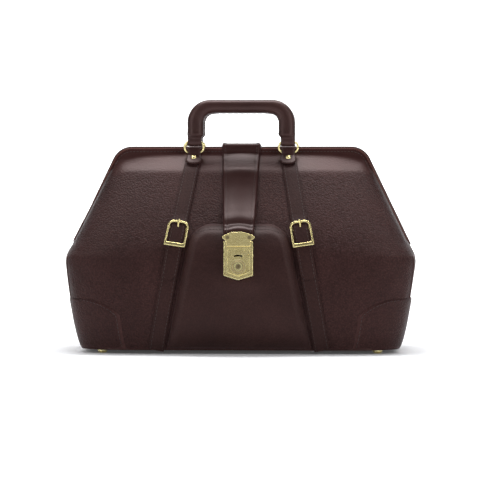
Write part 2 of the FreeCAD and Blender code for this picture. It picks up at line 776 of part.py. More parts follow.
def lock():
    depth, wall, top = dim("lock_depth"), dim("lock_wall"), lock_z("lock_top")
    knob_z = lock_z("knob_height")
    place = lock_placement()
    case = slab(shield(0, top), 0.2, depth)
    front = [edge for edge in case.Edges if all(abs(v.Y + depth) < 0.01 for v in edge.Vertexes)]
    case = case.makeFillet(0.7, front)
    case = case.cut(slab(shield(wall, top - wall), 0.1, depth - 2 * wall))
    case = case.cut(slab(shield(3.2, top - 9), depth - wall, depth + 1))
    case = case.cut(hole(dim("spindle_radius") + 0.08, 0, knob_z, 0, depth))
    case = case.cut(arc_slot(2.2, depth - 3 * wall, depth + 1))
    notch = box((-3.6, -depth - 1, lock_z("hasp_foot") + 1.0), (3.6, -0.1, top + 2))
    case = case.cut(notch)
    feature("lock_case", case, place)

    face = slab(shield(4.4, top - 10.4), depth - wall + 0.05, depth + 0.5)
    face = face.cut(hole(dim("spindle_radius") + 0.08, 0, knob_z, 0, depth + 2))
    face = face.cut(arc_slot(2.0, 0, depth + 2))
    feature("lock_face", face, place)

    back_near = -(dim("leather") + 4.1)
    back = slab(shield(2.5, top - 5), back_near - 1.2, back_near)
    holes = Part.makeCompound([hole(1.05, x, z, back_near - 3, 2) for x, z in LOCK_SCREWS])
    feature("lock_back_plate", back.cut(holes), place)
    screws = []
    for x, z in LOCK_SCREWS:
        head = hole(2.0, x, z, back_near - 2.0, back_near - 1.25)
        screws.append(hole(1.0, x, z, back_near - 2.0, 2.2).fuse(head))
    feature("lock_screws", Part.makeCompound(screws), place)
    lock_turning_parts(place, knob_z)
    latch_bolt(place, depth, wall)
    knob_cam(place, depth, wall)


def lock_turning_parts(place, knob_z):
    """The ring-grooved knob on its spindle, and the key plug through both."""
    knob = doc.addObject("PartDesign::Body", "lock_knob")
    for radius, start, length in (
        ("Dims.spindle_radius", "1.2", "Dims.lock_depth"),
        ("Dims.knob_radius", "Dims.lock_depth + 0.7", "1.6"),
        ("Dims.knob_radius - 1.8", "Dims.lock_depth + 2.3", "0.9"),
        ("Dims.knob_radius - 4.2", "Dims.lock_depth + 3.2", "0.8"),
    ):
        sketch = origin_sketch(knob, "XZ_Plane")
        circle(sketch, radius)
        bind(sketch, AttachmentOffset__Base__z=start)
        pad_onto(knob, sketch, length)
    sketch = origin_sketch(knob, "XZ_Plane")
    circle(sketch, "Dims.plug_radius + 0.06")
    pad_onto(knob, sketch, None, "PartDesign::Pocket")
    centre = place.multVec(Vector(0, 0, knob_z))
    knob.Placement = Placement(centre, place.Rotation)
    sub_part(knob, "lock_knob")

    plug = doc.addObject("PartDesign::Body", "key_plug")
    sketch = origin_sketch(plug, "XZ_Plane")
    circle(sketch, "Dims.plug_radius")
    bind(sketch, AttachmentOffset__Base__z="1.2")
    pad_onto(plug, sketch, "Dims.lock_depth + 3.2")
    keyway = origin_sketch(plug, "XZ_Plane")
    rectangle(keyway, "1.1", "3.8")
    bind(keyway, AttachmentOffset__Base__z="Dims.lock_depth + 5")
    doc.recompute()
    whole = plug.Shape.Volume
    pad_onto(plug, keyway, "5", "PartDesign::Pocket")
    doc.recompute()
    if plug.Shape.Volume > whole - 1:
        raise RuntimeError("the keyway does not cut the plug")
    plug.Placement = Placement(centre, place.Rotation)
    sub_part(plug, "key_plug")


def latch_bolt(place, depth, wall):
    """The bolt that the knob draws sideways, beside the hasp's staple."""
    z = lock_z("hasp_foot") - 3.2
    near, far = -depth + 2 * wall + 0.3, -1.6
    body = box((-9.5, near, z), (9.0, far, z + 3.0))
    nose = box((-8.0, near, z + 2.9), (-3.0, far, z + 6.4))
    pin_x, pin_z = cam_pin_place()
    reach = dim("cam_pin_radius") + 0.25
    tail = box((pin_x - reach - 1.6, near, pin_z - 1.5), (pin_x + reach + 1.6, far, z + 0.5))
    slot = box((pin_x - reach, near - 1, pin_z - 2), (pin_x + reach, far + 1, pin_z + 2.2))
    bolt = body.fuse([nose, tail]).cut(slot)
    feature("latch_bolt", bolt.removeSplitter(), place)


def cam_pin_place():
    """Where the cam's pin stands when the knob is at rest, turned back from the middle."""
    angle = math.radians(dim("knob_half_turn"))
    radius = dim("cam_radius")
    return radius * math.sin(angle), lock_z("knob_height") + radius * math.cos(angle)


def knob_cam(place, depth, wall):
    """The disc behind the knob whose pin moves the bolt."""
    knob_z = lock_z("knob_height")
    disc = hole(dim("cam_radius") + 1.4, 0, knob_z, 0.4, 1.15)
    pin = hole(dim("cam_pin_radius"), *cam_pin_place(), 1.1, depth - 2 * wall - 0.4)
    feature("knob_cam", disc.fuse(pin), place)


def hasp_outline():
    """A fan over a wide flat tongue: two mirrored flanks, joined by an arc over the top."""
    foot, wing, crown = lock_z("hasp_foot"), lock_z("hasp_wing"), lock_z("hasp_crown")
    flank = [(14.2, foot), (14.4, foot + 5.5), (16, wing - 3), (19.5, wing - 0.5), (19.5, wing + 1.5)]
    right = [Vector(x, 0, z) for x, z in flank]
    left = [Vector(-x, 0, z) for x, z in flank]
    edges = [Part.makeLine(a, b) for a, b in zip(right, right[1:])]
    edges.append(Part.Arc(right[-1], Vector(0, 0, crown), left[-1]).toShape())
    edges += [Part.makeLine(b, a) for a, b in zip(left, left[1:])][::-1]
    edges.append(Part.makeLine(left[0], right[0]))
    return Part.Face(Part.Wire(edges))


def hasp_holes():
    """The two holes that the hasp's rivets pass through, in the lock's frame."""
    radius = dim("hasp_rivet_radius") + dim("rivet_play")
    return [hole(radius, x, lock_z("hasp_wing"), 0, 12) for x in (-HASP_RIVET_X, HASP_RIVET_X)]


def hasp():
    """The fan-shaped plate at the flap's end, with the staple behind its tongue."""
    near, foot = dim("lock_depth") + 0.3, lock_z("hasp_foot")
    far = near + dim("hasp_thickness")
    plate = slab(hasp_outline(), near, far)
    feature("hasp_plate", plate.cut(Part.makeCompound(hasp_holes())), lock_placement())
    staple = box((-2.6, -near, foot + 2.2), (2.6, -1.4, foot + 4.6))
    feature("hasp_staple", staple, lock_placement())
    heads = []
    for x in (-HASP_RIVET_X, HASP_RIVET_X):
        shank = hole(dim("hasp_rivet_radius"), x, lock_z("hasp_wing"), 1.2, far + 0.4)
        heads.append(shank.fuse(hole(2.2, x, lock_z("hasp_wing"), far + 0.05, far + 0.7)))
    feature("hasp_rivets", Part.makeCompound(heads), lock_placement())


# ---------------------------------------------------------------- flap

def flap_path():
    """The flap's underside in the YZ plane, from its seam on the back band to the lock."""
    half = dim("flap_top_width") / 2
    path = []
    for height in (225, 233, 241):
        path.append((-front_y(half * 0.4, height) + 0.9, height))
    crown = dim("crown_height")
    over = [(11.4, crown - 2.5), (10.6, crown + 0.2), (8.6, crown + 1.3), (0, crown + 1.5)]
    path += over + [(-y, z) for y, z in over[-2::-1]]
    for height, lift in ((241, 0.9), (230, 0.9), (dim("band_foot_height"), 1.0), (210, 0.9),
                         (198, 1.0), (186, 2.0), (176, 5.0), (168, 9.0), (160, 13.0)):
        path.append((front_y(0, height) - lift, height))
    path.append((front_y(0, 153) - dim("pocket_stand_off") - 1.8, 153))
    for z, lift in ((lock_z("hasp_crown") + 1, 0.9), (lock_z("lock_top") + 0.8, 2.0)):
        point = lock_placement().multVec(Vector(0, -lift, z))
        path.append((point.y, point.z))
    return path


def flap():
    path = [Vector(0, y, z) for y, z in flap_path()]
    top, foot = dim("flap_top_width") / 2, dim("flap_foot_width") / 2
    lengths = [0.0]
    for a, b in zip(path, path[1:]):
        lengths.append(lengths[-1] + (b - a).Length)
    sections = []
    for n, point in enumerate(path):
        before, after = path[max(n - 1, 0)], path[min(n + 1, len(path) - 1)]
        along = (after - before).normalize()
        outward = Vector(0, along.z, -along.y)
        share = max(lengths[n] / lengths[-1] - 0.25, 0) / 0.75
        half = top + (foot - top) * share
        lift = outward * dim("flap_thickness")
        corners = [point + Vector(x, 0, 0) for x in (-half, half)]
        loop = [corners[0], corners[1], corners[1] + lift, corners[0] + lift, corners[0]]
        sections.append(Part.makePolygon(loop))
    strap = Part.makeLoft(sections, True, True)
    holes = [lock_local(cutter) for cutter in hasp_holes()]
    feature("flap_strap", strap.cut(Part.makeCompound(holes)))


# ---------------------------------------------------------------- chapes, rings and handles

def band_point(height):
    return Vector(0, front_y(dim("handle_half_span"), height), height)


def ring_anchor():
    """The point that the ring's lower bar turns about, in front of the band."""
    low, high = band_point(dim("band_foot_height") + 3), band_point(dim("ring_foot_height"))
    up = (high - low).normalize()
    outward = Vector(0, -up.z, up.y)
    reach = dim("ring_wire_radius") + 0.35 + dim("chape_thickness") / 2 + 2.2
    return high + up * 1.5 + outward * reach, up, outward


def chape_shape(sign):
    """A strap folded round the ring's lower bar and riveted to the band."""
    anchor, up, outward = ring_anchor()
    width, thickness = dim("chape_width"), dim("chape_thickness") / 2
    inner = dim("ring_wire_radius") + 0.35
    start = anchor + Vector(sign * dim("handle_half_span") - width / 2, 0, 0)
    loop = Part.makeCylinder(inner + thickness, width, start, Vector(1, 0, 0))
    reach = 18.5
    low = inner + thickness - dim("chape_thickness")
    corners = [start - outward * (low + dim("chape_thickness")), start - outward * low]
    corners += [corners[1] - up * reach, corners[0] - up * reach]
    tab = Part.Face(Part.makePolygon(corners + corners[:1])).extrude(Vector(width, 0, 0))
    bore = Part.makeCylinder(inner, width, start, Vector(1, 0, 0))
    return loop.fuse(tab).cut(bore).cut(chape_shank(sign, dim("rivet_play"))).removeSplitter()


def chape_rivet_seat(sign):
    """The middle of a chape rivet on the chape's face, and the direction it faces."""
    anchor, up, outward = ring_anchor()
    inner = dim("ring_wire_radius") + 0.35 + dim("chape_thickness") / 2
    centre = anchor - up * 10.0 + Vector(sign * dim("handle_half_span"), 0, 0)
    return centre - outward * (inner - dim("chape_thickness")), outward


def chape_shank(sign, play=0.0):
    seat, outward = chape_rivet_seat(sign)
    return Part.makeCylinder(1.2 + play, 9.0, seat - outward * 8.0, outward)


def chape_rivet(sign):
    """A domed rivet through the chape and the band."""
    seat, outward = chape_rivet_seat(sign)
    radius, height = dim("rivet_radius"), dim("rivet_height")
    sphere = (radius ** 2 + height ** 2) / (2 * height)
    head = Part.makeSphere(sphere, seat + outward * (height - sphere + 0.1))
    cap = Part.makeCylinder(radius, height + 1, seat + outward * 0.1, outward)
    return head.common(cap).fuse(chape_shank(sign))


def chape_rivet_holes():
    return [chape_shank(sign, dim("rivet_play")) for sign in SIDES.values()]


def ring_shape(sign):
    """A rounded rectangle of round wire, standing upright on its lower bar."""
    anchor = ring_anchor()[0] + Vector(sign * dim("handle_half_span"), 0, 0)
    half, drop, radius = dim("ring_width") / 2, dim("ring_drop"), 4.0
    corners = [(half, 0), (half, drop), (-half, drop), (-half, 0)]
    points = [anchor + Vector(x, 0, z) for x, z in corners]
    wire = rounded_loop(points, radius)
    start = anchor
    profile = Part.Wire(Part.makeCircle(dim("ring_wire_radius"), start, Vector(1, 0, 0)))
    return wire.makePipeShell([profile], True, True)


def rounded_loop(points, radius):
    """A closed loop of straight runs joined by tangent arcs, starting at the middle of its last run."""
    edges, count = [], len(points)
    start = (points[-1] + points[0]) * 0.5
    at = start
    for n, corner in enumerate(points):
        back = ((points[n - 1] if n else start) - corner).normalize()
        ahead = ((points[(n + 1) % count]) - corner).normalize()
        first, second = corner + back * radius, corner + ahead * radius
        middle = corner + (back + ahead) * (radius * (1 - math.sqrt(0.5)))
        edges += [Part.makeLine(at, first), Part.Arc(first, middle, second).toShape()]
        at = second
    edges.append(Part.makeLine(at, start))
    return Part.Wire(edges)


def handle_path(foot):
    """The handle's centre line: up one leg, over two wide corners and down the other."""
    anchor = ring_anchor()[0]
    half, top = dim("handle_half_span"), dim("handle_top") - dim("handle_radius")
    radius = dim("handle_corner")
    y = anchor.y
    middle = radius * (1 - math.sqrt(0.5))

    def point(x, z):
        return Vector(x, y, z)

    edges = [Part.makeLine(point(-half, foot), point(-half, top - radius))]
    edges.append(Part.Arc(point(-half, top - radius), point(-half + middle, top - middle),
                          point(-half + radius, top)).toShape())
    edges.append(Part.makeLine(point(-half + radius, top), point(half - radius, top)))
    edges.append(Part.Arc(point(half - radius, top), point(half - middle, top - middle),
                          point(half, top - radius)).toShape())
    edges.append(Part.makeLine(point(half, top - radius), point(half, foot)))
    return Part.Wire(edges)


def swept_rod(path, radius):
    start = path.Vertexes[0].Point
    profile = Part.Wire(Part.makeCircle(radius, start, Vector(0, 0, 1)))
    return path.makePipeShell([profile], True, False)


def handle_shapes():
    """A rolled leather grip over a cord core, its legs looped round the rings' upper bars."""
    anchor = ring_anchor()[0]
    top_bar = anchor + Vector(0, 0, dim("ring_drop"))
    leg_foot = top_bar.z + 5.5
    path = handle_path(leg_foot)
    grip = swept_rod(path, dim("handle_radius"))
    core = swept_rod(handle_path(leg_foot + 3), dim("handle_bore") - 0.1)
    grip = grip.cut(swept_rod(handle_path(leg_foot + 3), dim("handle_bore")))
    width, thickness = dim("chape_width"), 1.6
    inner = dim("ring_wire_radius") + 0.35
    for sign in SIDES.values():
        start = top_bar + Vector(sign * dim("handle_half_span") - width / 2, 0, 0)
        loop = Part.makeCylinder(inner + thickness, width, start, Vector(1, 0, 0))
        neck = Part.makeBox(width, 2 * (inner + thickness), 7.0,
                            start + Vector(0, -inner - thickness, 0))
        bore = Part.makeCylinder(inner, width, start, Vector(1, 0, 0))
        grip = grip.fuse(loop.fuse(neck).cut(bore))
    return grip.removeSplitter(), core


def handles():
    grip, core = handle_shapes()
    for face in FACES:
        rivets = [for_face(chape_rivet(sign), face) for sign in SIDES.values()]
        feature("chape_rivets_" + face, Part.makeCompound(rivets))
        feature("handle_grip_" + face, for_face(grip, face))
        feature("handle_core_" + face, for_face(core, face))
        for side, sign in SIDES.items():
            feature("chape_%s_%s" % (face, side), for_face(chape_shape(sign), face))
            feature("ring_%s_%s" % (face, side), for_face(ring_shape(sign), face))


def write_parts():
    """Checks every object, then writes one STEP file per sub-part."""
    doc.recompute()
    for item in doc.Objects:
        if "Invalid" in item.State or "Error" in item.State:
            raise RuntimeError("%s failed: %s" % (item.Label, item.State))
    os.makedirs("parts", exist_ok=True)
    for item in SUB_PARTS:
        shape = item.Shape
        if shape.isNull() or not shape.isValid() or not shape.Solids:
            raise RuntimeError("%s has no valid solid" % item.Label)
        shape.exportStep("parts/%s.step" % item.Label)
    print("%d sub-parts written" % len(SUB_PARTS))


base()
lower_walls()
corner_patches()
upper_panels()
mouth_bands()
mouth_frame()
hinge_pins_and_stays()
front_pocket()
straps()
buckles()
lock()
hasp()
flap()
handles()
write_parts()
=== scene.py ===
import json
from math import acos, asin, atan2, copysign, cos, degrees, exp, hypot, pi, radians, sin, sqrt, tan

import bpy
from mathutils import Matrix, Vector


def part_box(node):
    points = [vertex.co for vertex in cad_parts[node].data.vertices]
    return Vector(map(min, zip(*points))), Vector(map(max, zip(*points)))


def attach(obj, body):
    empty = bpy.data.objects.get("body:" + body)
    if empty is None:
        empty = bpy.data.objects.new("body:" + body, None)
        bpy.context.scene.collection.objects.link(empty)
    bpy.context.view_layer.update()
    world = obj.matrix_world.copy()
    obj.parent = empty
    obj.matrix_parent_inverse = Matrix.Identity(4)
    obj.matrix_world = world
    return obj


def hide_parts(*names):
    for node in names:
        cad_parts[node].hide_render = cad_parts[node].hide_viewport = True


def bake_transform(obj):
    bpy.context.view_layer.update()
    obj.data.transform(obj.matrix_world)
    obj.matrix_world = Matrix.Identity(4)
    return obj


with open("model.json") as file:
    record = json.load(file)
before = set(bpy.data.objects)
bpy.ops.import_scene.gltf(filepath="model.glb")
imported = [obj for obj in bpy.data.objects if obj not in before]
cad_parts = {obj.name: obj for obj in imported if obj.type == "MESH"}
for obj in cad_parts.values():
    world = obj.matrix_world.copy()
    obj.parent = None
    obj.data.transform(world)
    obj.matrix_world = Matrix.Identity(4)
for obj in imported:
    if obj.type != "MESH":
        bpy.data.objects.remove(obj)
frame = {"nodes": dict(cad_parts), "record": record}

# A leather doctor bag. Sizes in this file are millimetres in the CAD's frame; meshes are made in metres.
MM = 0.001
SIDES = {"left": -1, "right": 1}
FACES = {"front": -1, "back": 1}
JAWS = {"front": "front_jaw", "back": "back_jaw"}
JOINTS = {joint["name"]: joint for joint in frame["record"]["behaviour"]["joints"]}
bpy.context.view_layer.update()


def node_box(node):
    low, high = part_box(node)
    return [v / MM for v in low], [v / MM for v in high]


def joint_place(name):
    return [v / MM for v in JOINTS[name]["pos_m"]]


# ---- sizes read from the frame

HINGE = joint_place("front_jaw_open")[2]
CROWN = node_box("frame_rail_front")[1][2]
HALF_LENGTH = node_box("gusset_right")[1][0]
RAIL_BACK = -node_box("frame_rail_front")[0][1]
FLOOR = node_box("base_cover")[0][2]
POCKET_TOP = node_box("front_pocket")[1][2]
RING = joint_place("front_ring_swing")
RING_TOP = joint_place("front_handle_fold")[2]
HANDLE_X = sum(node_box("ring_front_right")[n][0] for n in (0, 1)) / 2
HANDLE_TOP = node_box("handle_grip_front")[1][2]
STRAP_TIP = node_box("strap_upper_right")[0][2]
STRAP_TOP = node_box("strap_upper_right")[1][2]

FLOOR_HALF_LENGTH, FLOOR_HALF_DEPTH, HINGE_HALF_DEPTH = 193.0, 86.0, 91.0
BAND_FOOT, CREASE_HALF_DEPTH = 219.5, 34.5
SLOPE, SHOULDER = 0.48, 26.0
SEAM = 62.0
STRAP_FOOT_X, STRAP_HEAD_X, STRAP_WIDTH = 100.0, 61.5, 18.4
POCKET_HALF_TOP, POCKET_HALF_FOOT, STAND_OFF = 57.5, 88.0, 12.5
BUCKLE_HEIGHT, BAR_HEIGHT = 143.0, 150.5
LOCK_FOOT, LOCK_TOP, LOCK_TILT, HASP_CROWN = 89.5, 136.0, 11.0, 147.5


def signed(value, power):
    return copysign(abs(value) ** power, value)


def clamp(value):
    return min(max(value, 0), 1)


def eased(share):
    return share * share * (3 - 2 * share)


def circle(steps):
    return [2 * pi * n / steps for n in range(steps)]


def quarters():
    """Each face and side of the bag with the signs of its Y and X."""
    return [(face, facing, side, sign) for face, facing in FACES.items() for side, sign in SIDES.items()]


# ---- the bag's outer surface

def softened(profile, z):
    """A profile with the kink at the hinges' height eased off."""
    reach = 14 * max(1 - abs(z - HINGE) / 48, 0)
    shares = ((-1, 0.12), (-0.5, 0.24), (0, 0.28), (0.5, 0.24), (1, 0.12))
    return sum(profile(z + step * reach) * weight for step, weight in shares)


def half_length(z):
    return softened(length_profile, z)


def half_depth(z):
    return softened(depth_profile, z)


def length_profile(z):
    if z > HINGE:
        return HALF_LENGTH - SLOPE * (z - HINGE)
    share = max(z - FLOOR, 0) / (HINGE - FLOOR)
    return FLOOR_HALF_LENGTH + (HALF_LENGTH - FLOOR_HALF_LENGTH) * share ** 0.62


def depth_profile(z):
    if z > BAND_FOOT:
        return CREASE_HALF_DEPTH * (1 - min((z - BAND_FOOT) / (CROWN + 1 - BAND_FOOT), 1))
    if z > HINGE:
        share = (z - HINGE) / (BAND_FOOT - HINGE)
        return HINGE_HALF_DEPTH - (HINGE_HALF_DEPTH - CREASE_HALF_DEPTH) * share ** 1.25
    share = max(z - FLOOR, 0) / (HINGE - FLOOR)
    lean = HINGE_HALF_DEPTH - FLOOR_HALF_DEPTH
    return FLOOR_HALF_DEPTH + lean * share + 24 * share * (1 - share)


def roundness(z):
    share = sqrt(clamp((z - HINGE) / (CROWN - HINGE)))
    return 6 - 1.6 * share, 6 - 3.6 * share


def plan_point(bearing, z):
    """A point of the outline at a height, by its angle from the front's middle."""
    along, across = roundness(z)
    sine, cosine = sin(radians(bearing)), cos(radians(bearing))
    return half_length(z) * signed(sine, 2 / along), -half_depth(z) * signed(cosine, 2 / across)


def front_y(x, z):
    along, across = roundness(z)
    share = min(abs(x) / half_length(z), 1)
    return -half_depth(z) * (1 - share ** along) ** (1 / across)


def soft_max(a, b, width=3.0):
    return (a + b + sqrt((a - b) ** 2 + width ** 2)) / 2


def skin_y(x, z):
    """The front's surface, which flattens onto the frame's rails near the mouth."""
    return front_y(x, z) if z < HINGE else -soft_max(-front_y(x, z), RAIL_BACK + 0.9, 2.4)


def arch_x(z, inset):
    """The mouth's half width at a height, inside its rounded shoulders."""
    lean = hypot(SLOPE, 1)
    crown = CROWN - inset
    radius = SHOULDER - inset
    leg = lambda height: HALF_LENGTH - SLOPE * (height - HINGE) - inset * lean
    tangent = radius * tan(atan2(1, SLOPE) / 2)
    centre_x, centre_z = leg(crown) - tangent, crown - radius
    tangent_z = crown - tangent / lean
    if z <= tangent_z:
        return leg(z)
    return centre_x + sqrt(max(radius ** 2 - (z - centre_z) ** 2, 0))


def normal_at(x, z):
    step = 0.5
    across = Vector((2 * step, skin_y(x + step, z) - skin_y(x - step, z), 0))
    up = Vector((0, skin_y(x, z + step) - skin_y(x, z - step), 2 * step))
    return across.cross(up).normalized()


def on_front(x, z, lift=0.0):
    return Vector((x, skin_y(x, z), z)) + normal_at(x, z) * lift


# ---- meshes

def finish_mesh(name, vertices, faces, material, outward=None):
    mesh = bpy.data.meshes.new(name)
    mesh.from_pydata([[c * MM for c in v] for v in vertices], [], faces)
    mesh.update()
    if outward is not None:
        total = Vector((0, 0, 0))
        for polygon in mesh.polygons:
            total += polygon.normal * polygon.area
        if total.dot(Vector(outward)) < 0:
            mesh.flip_normals()
    mesh.polygons.foreach_set("use_smooth", [True] * len(mesh.polygons))
    mesh.materials.append(material)
    item = bpy.data.objects.new(name, mesh)
    bpy.context.collection.objects.link(item)
    return item


def grid(name, rows, material, outward, keep=None):
    """A sheet through rows of points, less the cells that keep() refuses."""
    count = len(rows[0])
    faces = []
    for r in range(len(rows) - 1):
        for c in range(count - 1):
            if keep is None or keep(r, c):
                a = r * count + c
                faces.append((a, a + 1, a + count + 1, a + count))
    points = [p for row in rows for p in row]
    used = sorted({v for face in faces for v in face})
    number = {old: new for new, old in enumerate(used)}
    faces = [tuple(number[v] for v in face) for face in faces]
    return finish_mesh(name, [points[v] for v in used], faces, material, outward)


def tube(name, rings, material, closed=False):
    """A closed skin through rings of points, capped at both ends unless it closes on itself."""
    count = len(rings[0])
    faces = []
    for r in range(len(rings) if closed else len(rings) - 1):
        following = (r + 1) % len(rings)
        for c in range(count):
            d = (c + 1) % count
            faces.append((r * count + c, r * count + d, following * count + d, following * count + c))
    if not closed:
        faces.append(tuple(range(count)))
        faces.append(tuple(range((len(rings) - 1) * count, len(rings) * count)))
    item = finish_mesh(name, [p for ring in rings for p in ring], faces, material)
    face_outwards(item)
    return item


def face_outwards(item):
    mesh = item.data
    volume = 0.0
    for polygon in mesh.polygons:
        corners = [mesh.vertices[v].co for v in polygon.vertices]
        for n in range(1, len(corners) - 1):
            volume += corners[0].dot(corners[n].cross(corners[n + 1]))
    if volume < 0:
        mesh.flip_normals()


def settled(item):
    """Applies the object's modifiers to its mesh."""
    graph = bpy.context.evaluated_depsgraph_get()
    mesh = bpy.data.meshes.new_from_object(item.evaluated_get(graph))
    item.modifiers.clear()
    item.data = mesh
    return item


def thickened(item, thickness, inside=None, subdivisions=0, rim=None):
    if inside is not None:
        item.data.materials.append(inside)
    if rim is not None:
        item.data.materials.append(rim)
    layer = item.modifiers.new("thickness", "SOLIDIFY")
    layer.thickness = thickness * MM
    layer.offset = -1
    if inside is not None:
        layer.material_offset = 1
    if rim is not None:
        layer.material_offset_rim = 2
    if subdivisions:
        smooth = item.modifiers.new("smooth", "SUBSURF")
        smooth.levels = smooth.render_levels = subdivisions
    return settled(item)


def bean(width, thickness, steps=28, crown=0.35):
    """A flat strap's section: points across it and up from its underside."""
    points = []
    for angle in circle(steps):
        c, s = cos(angle), sin(angle)
        x = width / 2 * signed(c, 0.3)
        y = thickness / 2 + thickness / 2 * signed(s, 0.75)
        if s > 0:
            y += crown * (1 - (2 * x / width) ** 2)
        points.append((x, y))
    return points


def stitches(name, line, material, pitch=4.6, length=3.3, radius=0.42):
    """Sewn stitches along a line of (point, outward direction) pairs."""
    rings = (-1.0, -0.8, 0.0, 0.8, 1.0)
    shares = (0.0, 0.75, 1.0, 0.75, 0.0)
    vertices, faces = [], []
    travelled, target = 0.0, pitch / 2
    for (a, normal), (b, _) in zip(line, line[1:]):
        a, b = Vector(a), Vector(b)
        run = (b - a).length
        if run < 1e-6:
            continue
        along = (b - a) / run
        while target <= travelled + run:
            centre = a + along * (target - travelled)
            out = Vector(normal).normalized()
            side = along.cross(out).normalized()
            start = len(vertices)
            for ring, share in zip(rings, shares):
                for n in range(6):
                    angle = pi / 3 * n
                    spread = radius * max(share, 0.3)
                    bow = 0.25 * radius * (1 - ring * ring)
                    vertices.append(centre + along * (ring * length / 2) + out * (bow - 0.1)
                                    + side * cos(angle) * spread
                                    + out * sin(angle) * spread * 0.8)
            for r in range(len(rings) - 1):
                for n in range(6):
                    m = (n + 1) % 6
                    base = start + r * 6
                    faces.append((base + n, base + m, base + 6 + m, base + 6 + n))
            faces.append(tuple(start + n for n in range(6)))
            faces.append(tuple(start + 24 + n for n in range(6)))
            target += pitch
        travelled += run
    item = finish_mesh(name, vertices, faces, material)
    face_outwards(item)
    return item


def cord_along(name, line, radius, material, sides=10):
    """A thin rolled edge or welt along a line of points."""
    line = [Vector(p) for p in line]
    rings = []
    for n, point in enumerate(line):
        along = (line[min(n + 1, len(line) - 1)] - line[max(n - 1, 0)]).normalized()
        side = along.cross(Vector((0, 1, 0)) if abs(along.y) < 0.9 else Vector((1, 0, 0))).normalized()
        other = along.cross(side)
        end = 0.45 if n in (0, len(line) - 1) else 1.0
        rings.append([point + (side * cos(a) + other * sin(a)) * radius * end
                      for a in circle(sides)])
    return tube(name, rings, material)


def mirrored(point, sign=1, facing=-1):
    """A point or direction of the front's right side, taken to the given side and face."""
    return Vector((sign * point[0], -facing * point[1], point[2]))


def flipped(rows):
    return [[mirrored(p, facing=1) for p in row] for row in rows]


# ---- materials

def node_material(name):
    material = bpy.data.materials.new(name)
    material.use_nodes = True
    tree = material.node_tree
    shader = tree.nodes["Principled BSDF"]
    return material, tree, shader


def add(tree, kind, at=None, **values):
    node = tree.nodes.new(kind)
    if at is not None:
        tree.links.new(at, node.inputs["Vector"])
    for name, value in values.items():
        if name in node.inputs:
            node.inputs[name].default_value = value
        else:
            setattr(node, name, value)
    return node


def ramp(tree, source, low, high, low_color, high_color):
    node = tree.nodes.new("ShaderNodeValToRGB")
    tree.links.new(source, node.inputs["Fac"])
    node.color_ramp.elements[0].position = low
    node.color_ramp.elements[1].position = high
    node.color_ramp.elements[0].color = (*low_color, 1)
    node.color_ramp.elements[1].color = (*high_color, 1)
    return node.outputs["Color"]


def mixed(tree, mode, factor, a, b):
    node = tree.nodes.new("ShaderNodeMix")
    node.data_type = "RGBA"
    node.blend_type = mode
    for socket, value in ((node.inputs["Factor"], factor), (node.inputs["A"], a), (node.inputs["B"], b)):
        if isinstance(value, bpy.types.NodeSocket):
            tree.links.new(value, socket)
        else:
            socket.default_value = value
    return node.outputs["Result"]


def maths(tree, operation, a, b=0.0):
    node = tree.nodes.new("ShaderNodeMath")
    node.operation = operation
    for socket, value in zip(node.inputs, (a, b)):
        if isinstance(value, bpy.types.NodeSocket):
            tree.links.new(value, socket)
        else:
            socket.default_value = value
    return node.outputs[0]


def spread(tree, source, start, end, low, high, curve="LINEAR"):
    """Carries a value from one range to another."""
    node = tree.nodes.new("ShaderNodeMapRange")
    node.interpolation_type = curve
    tree.links.new(source, node.inputs["Value"])
    for name, value in zip(("From Min", "From Max", "To Min", "To Max"), (start, end, low, high)):
        node.inputs[name].default_value = value
    return node.outputs["Result"]


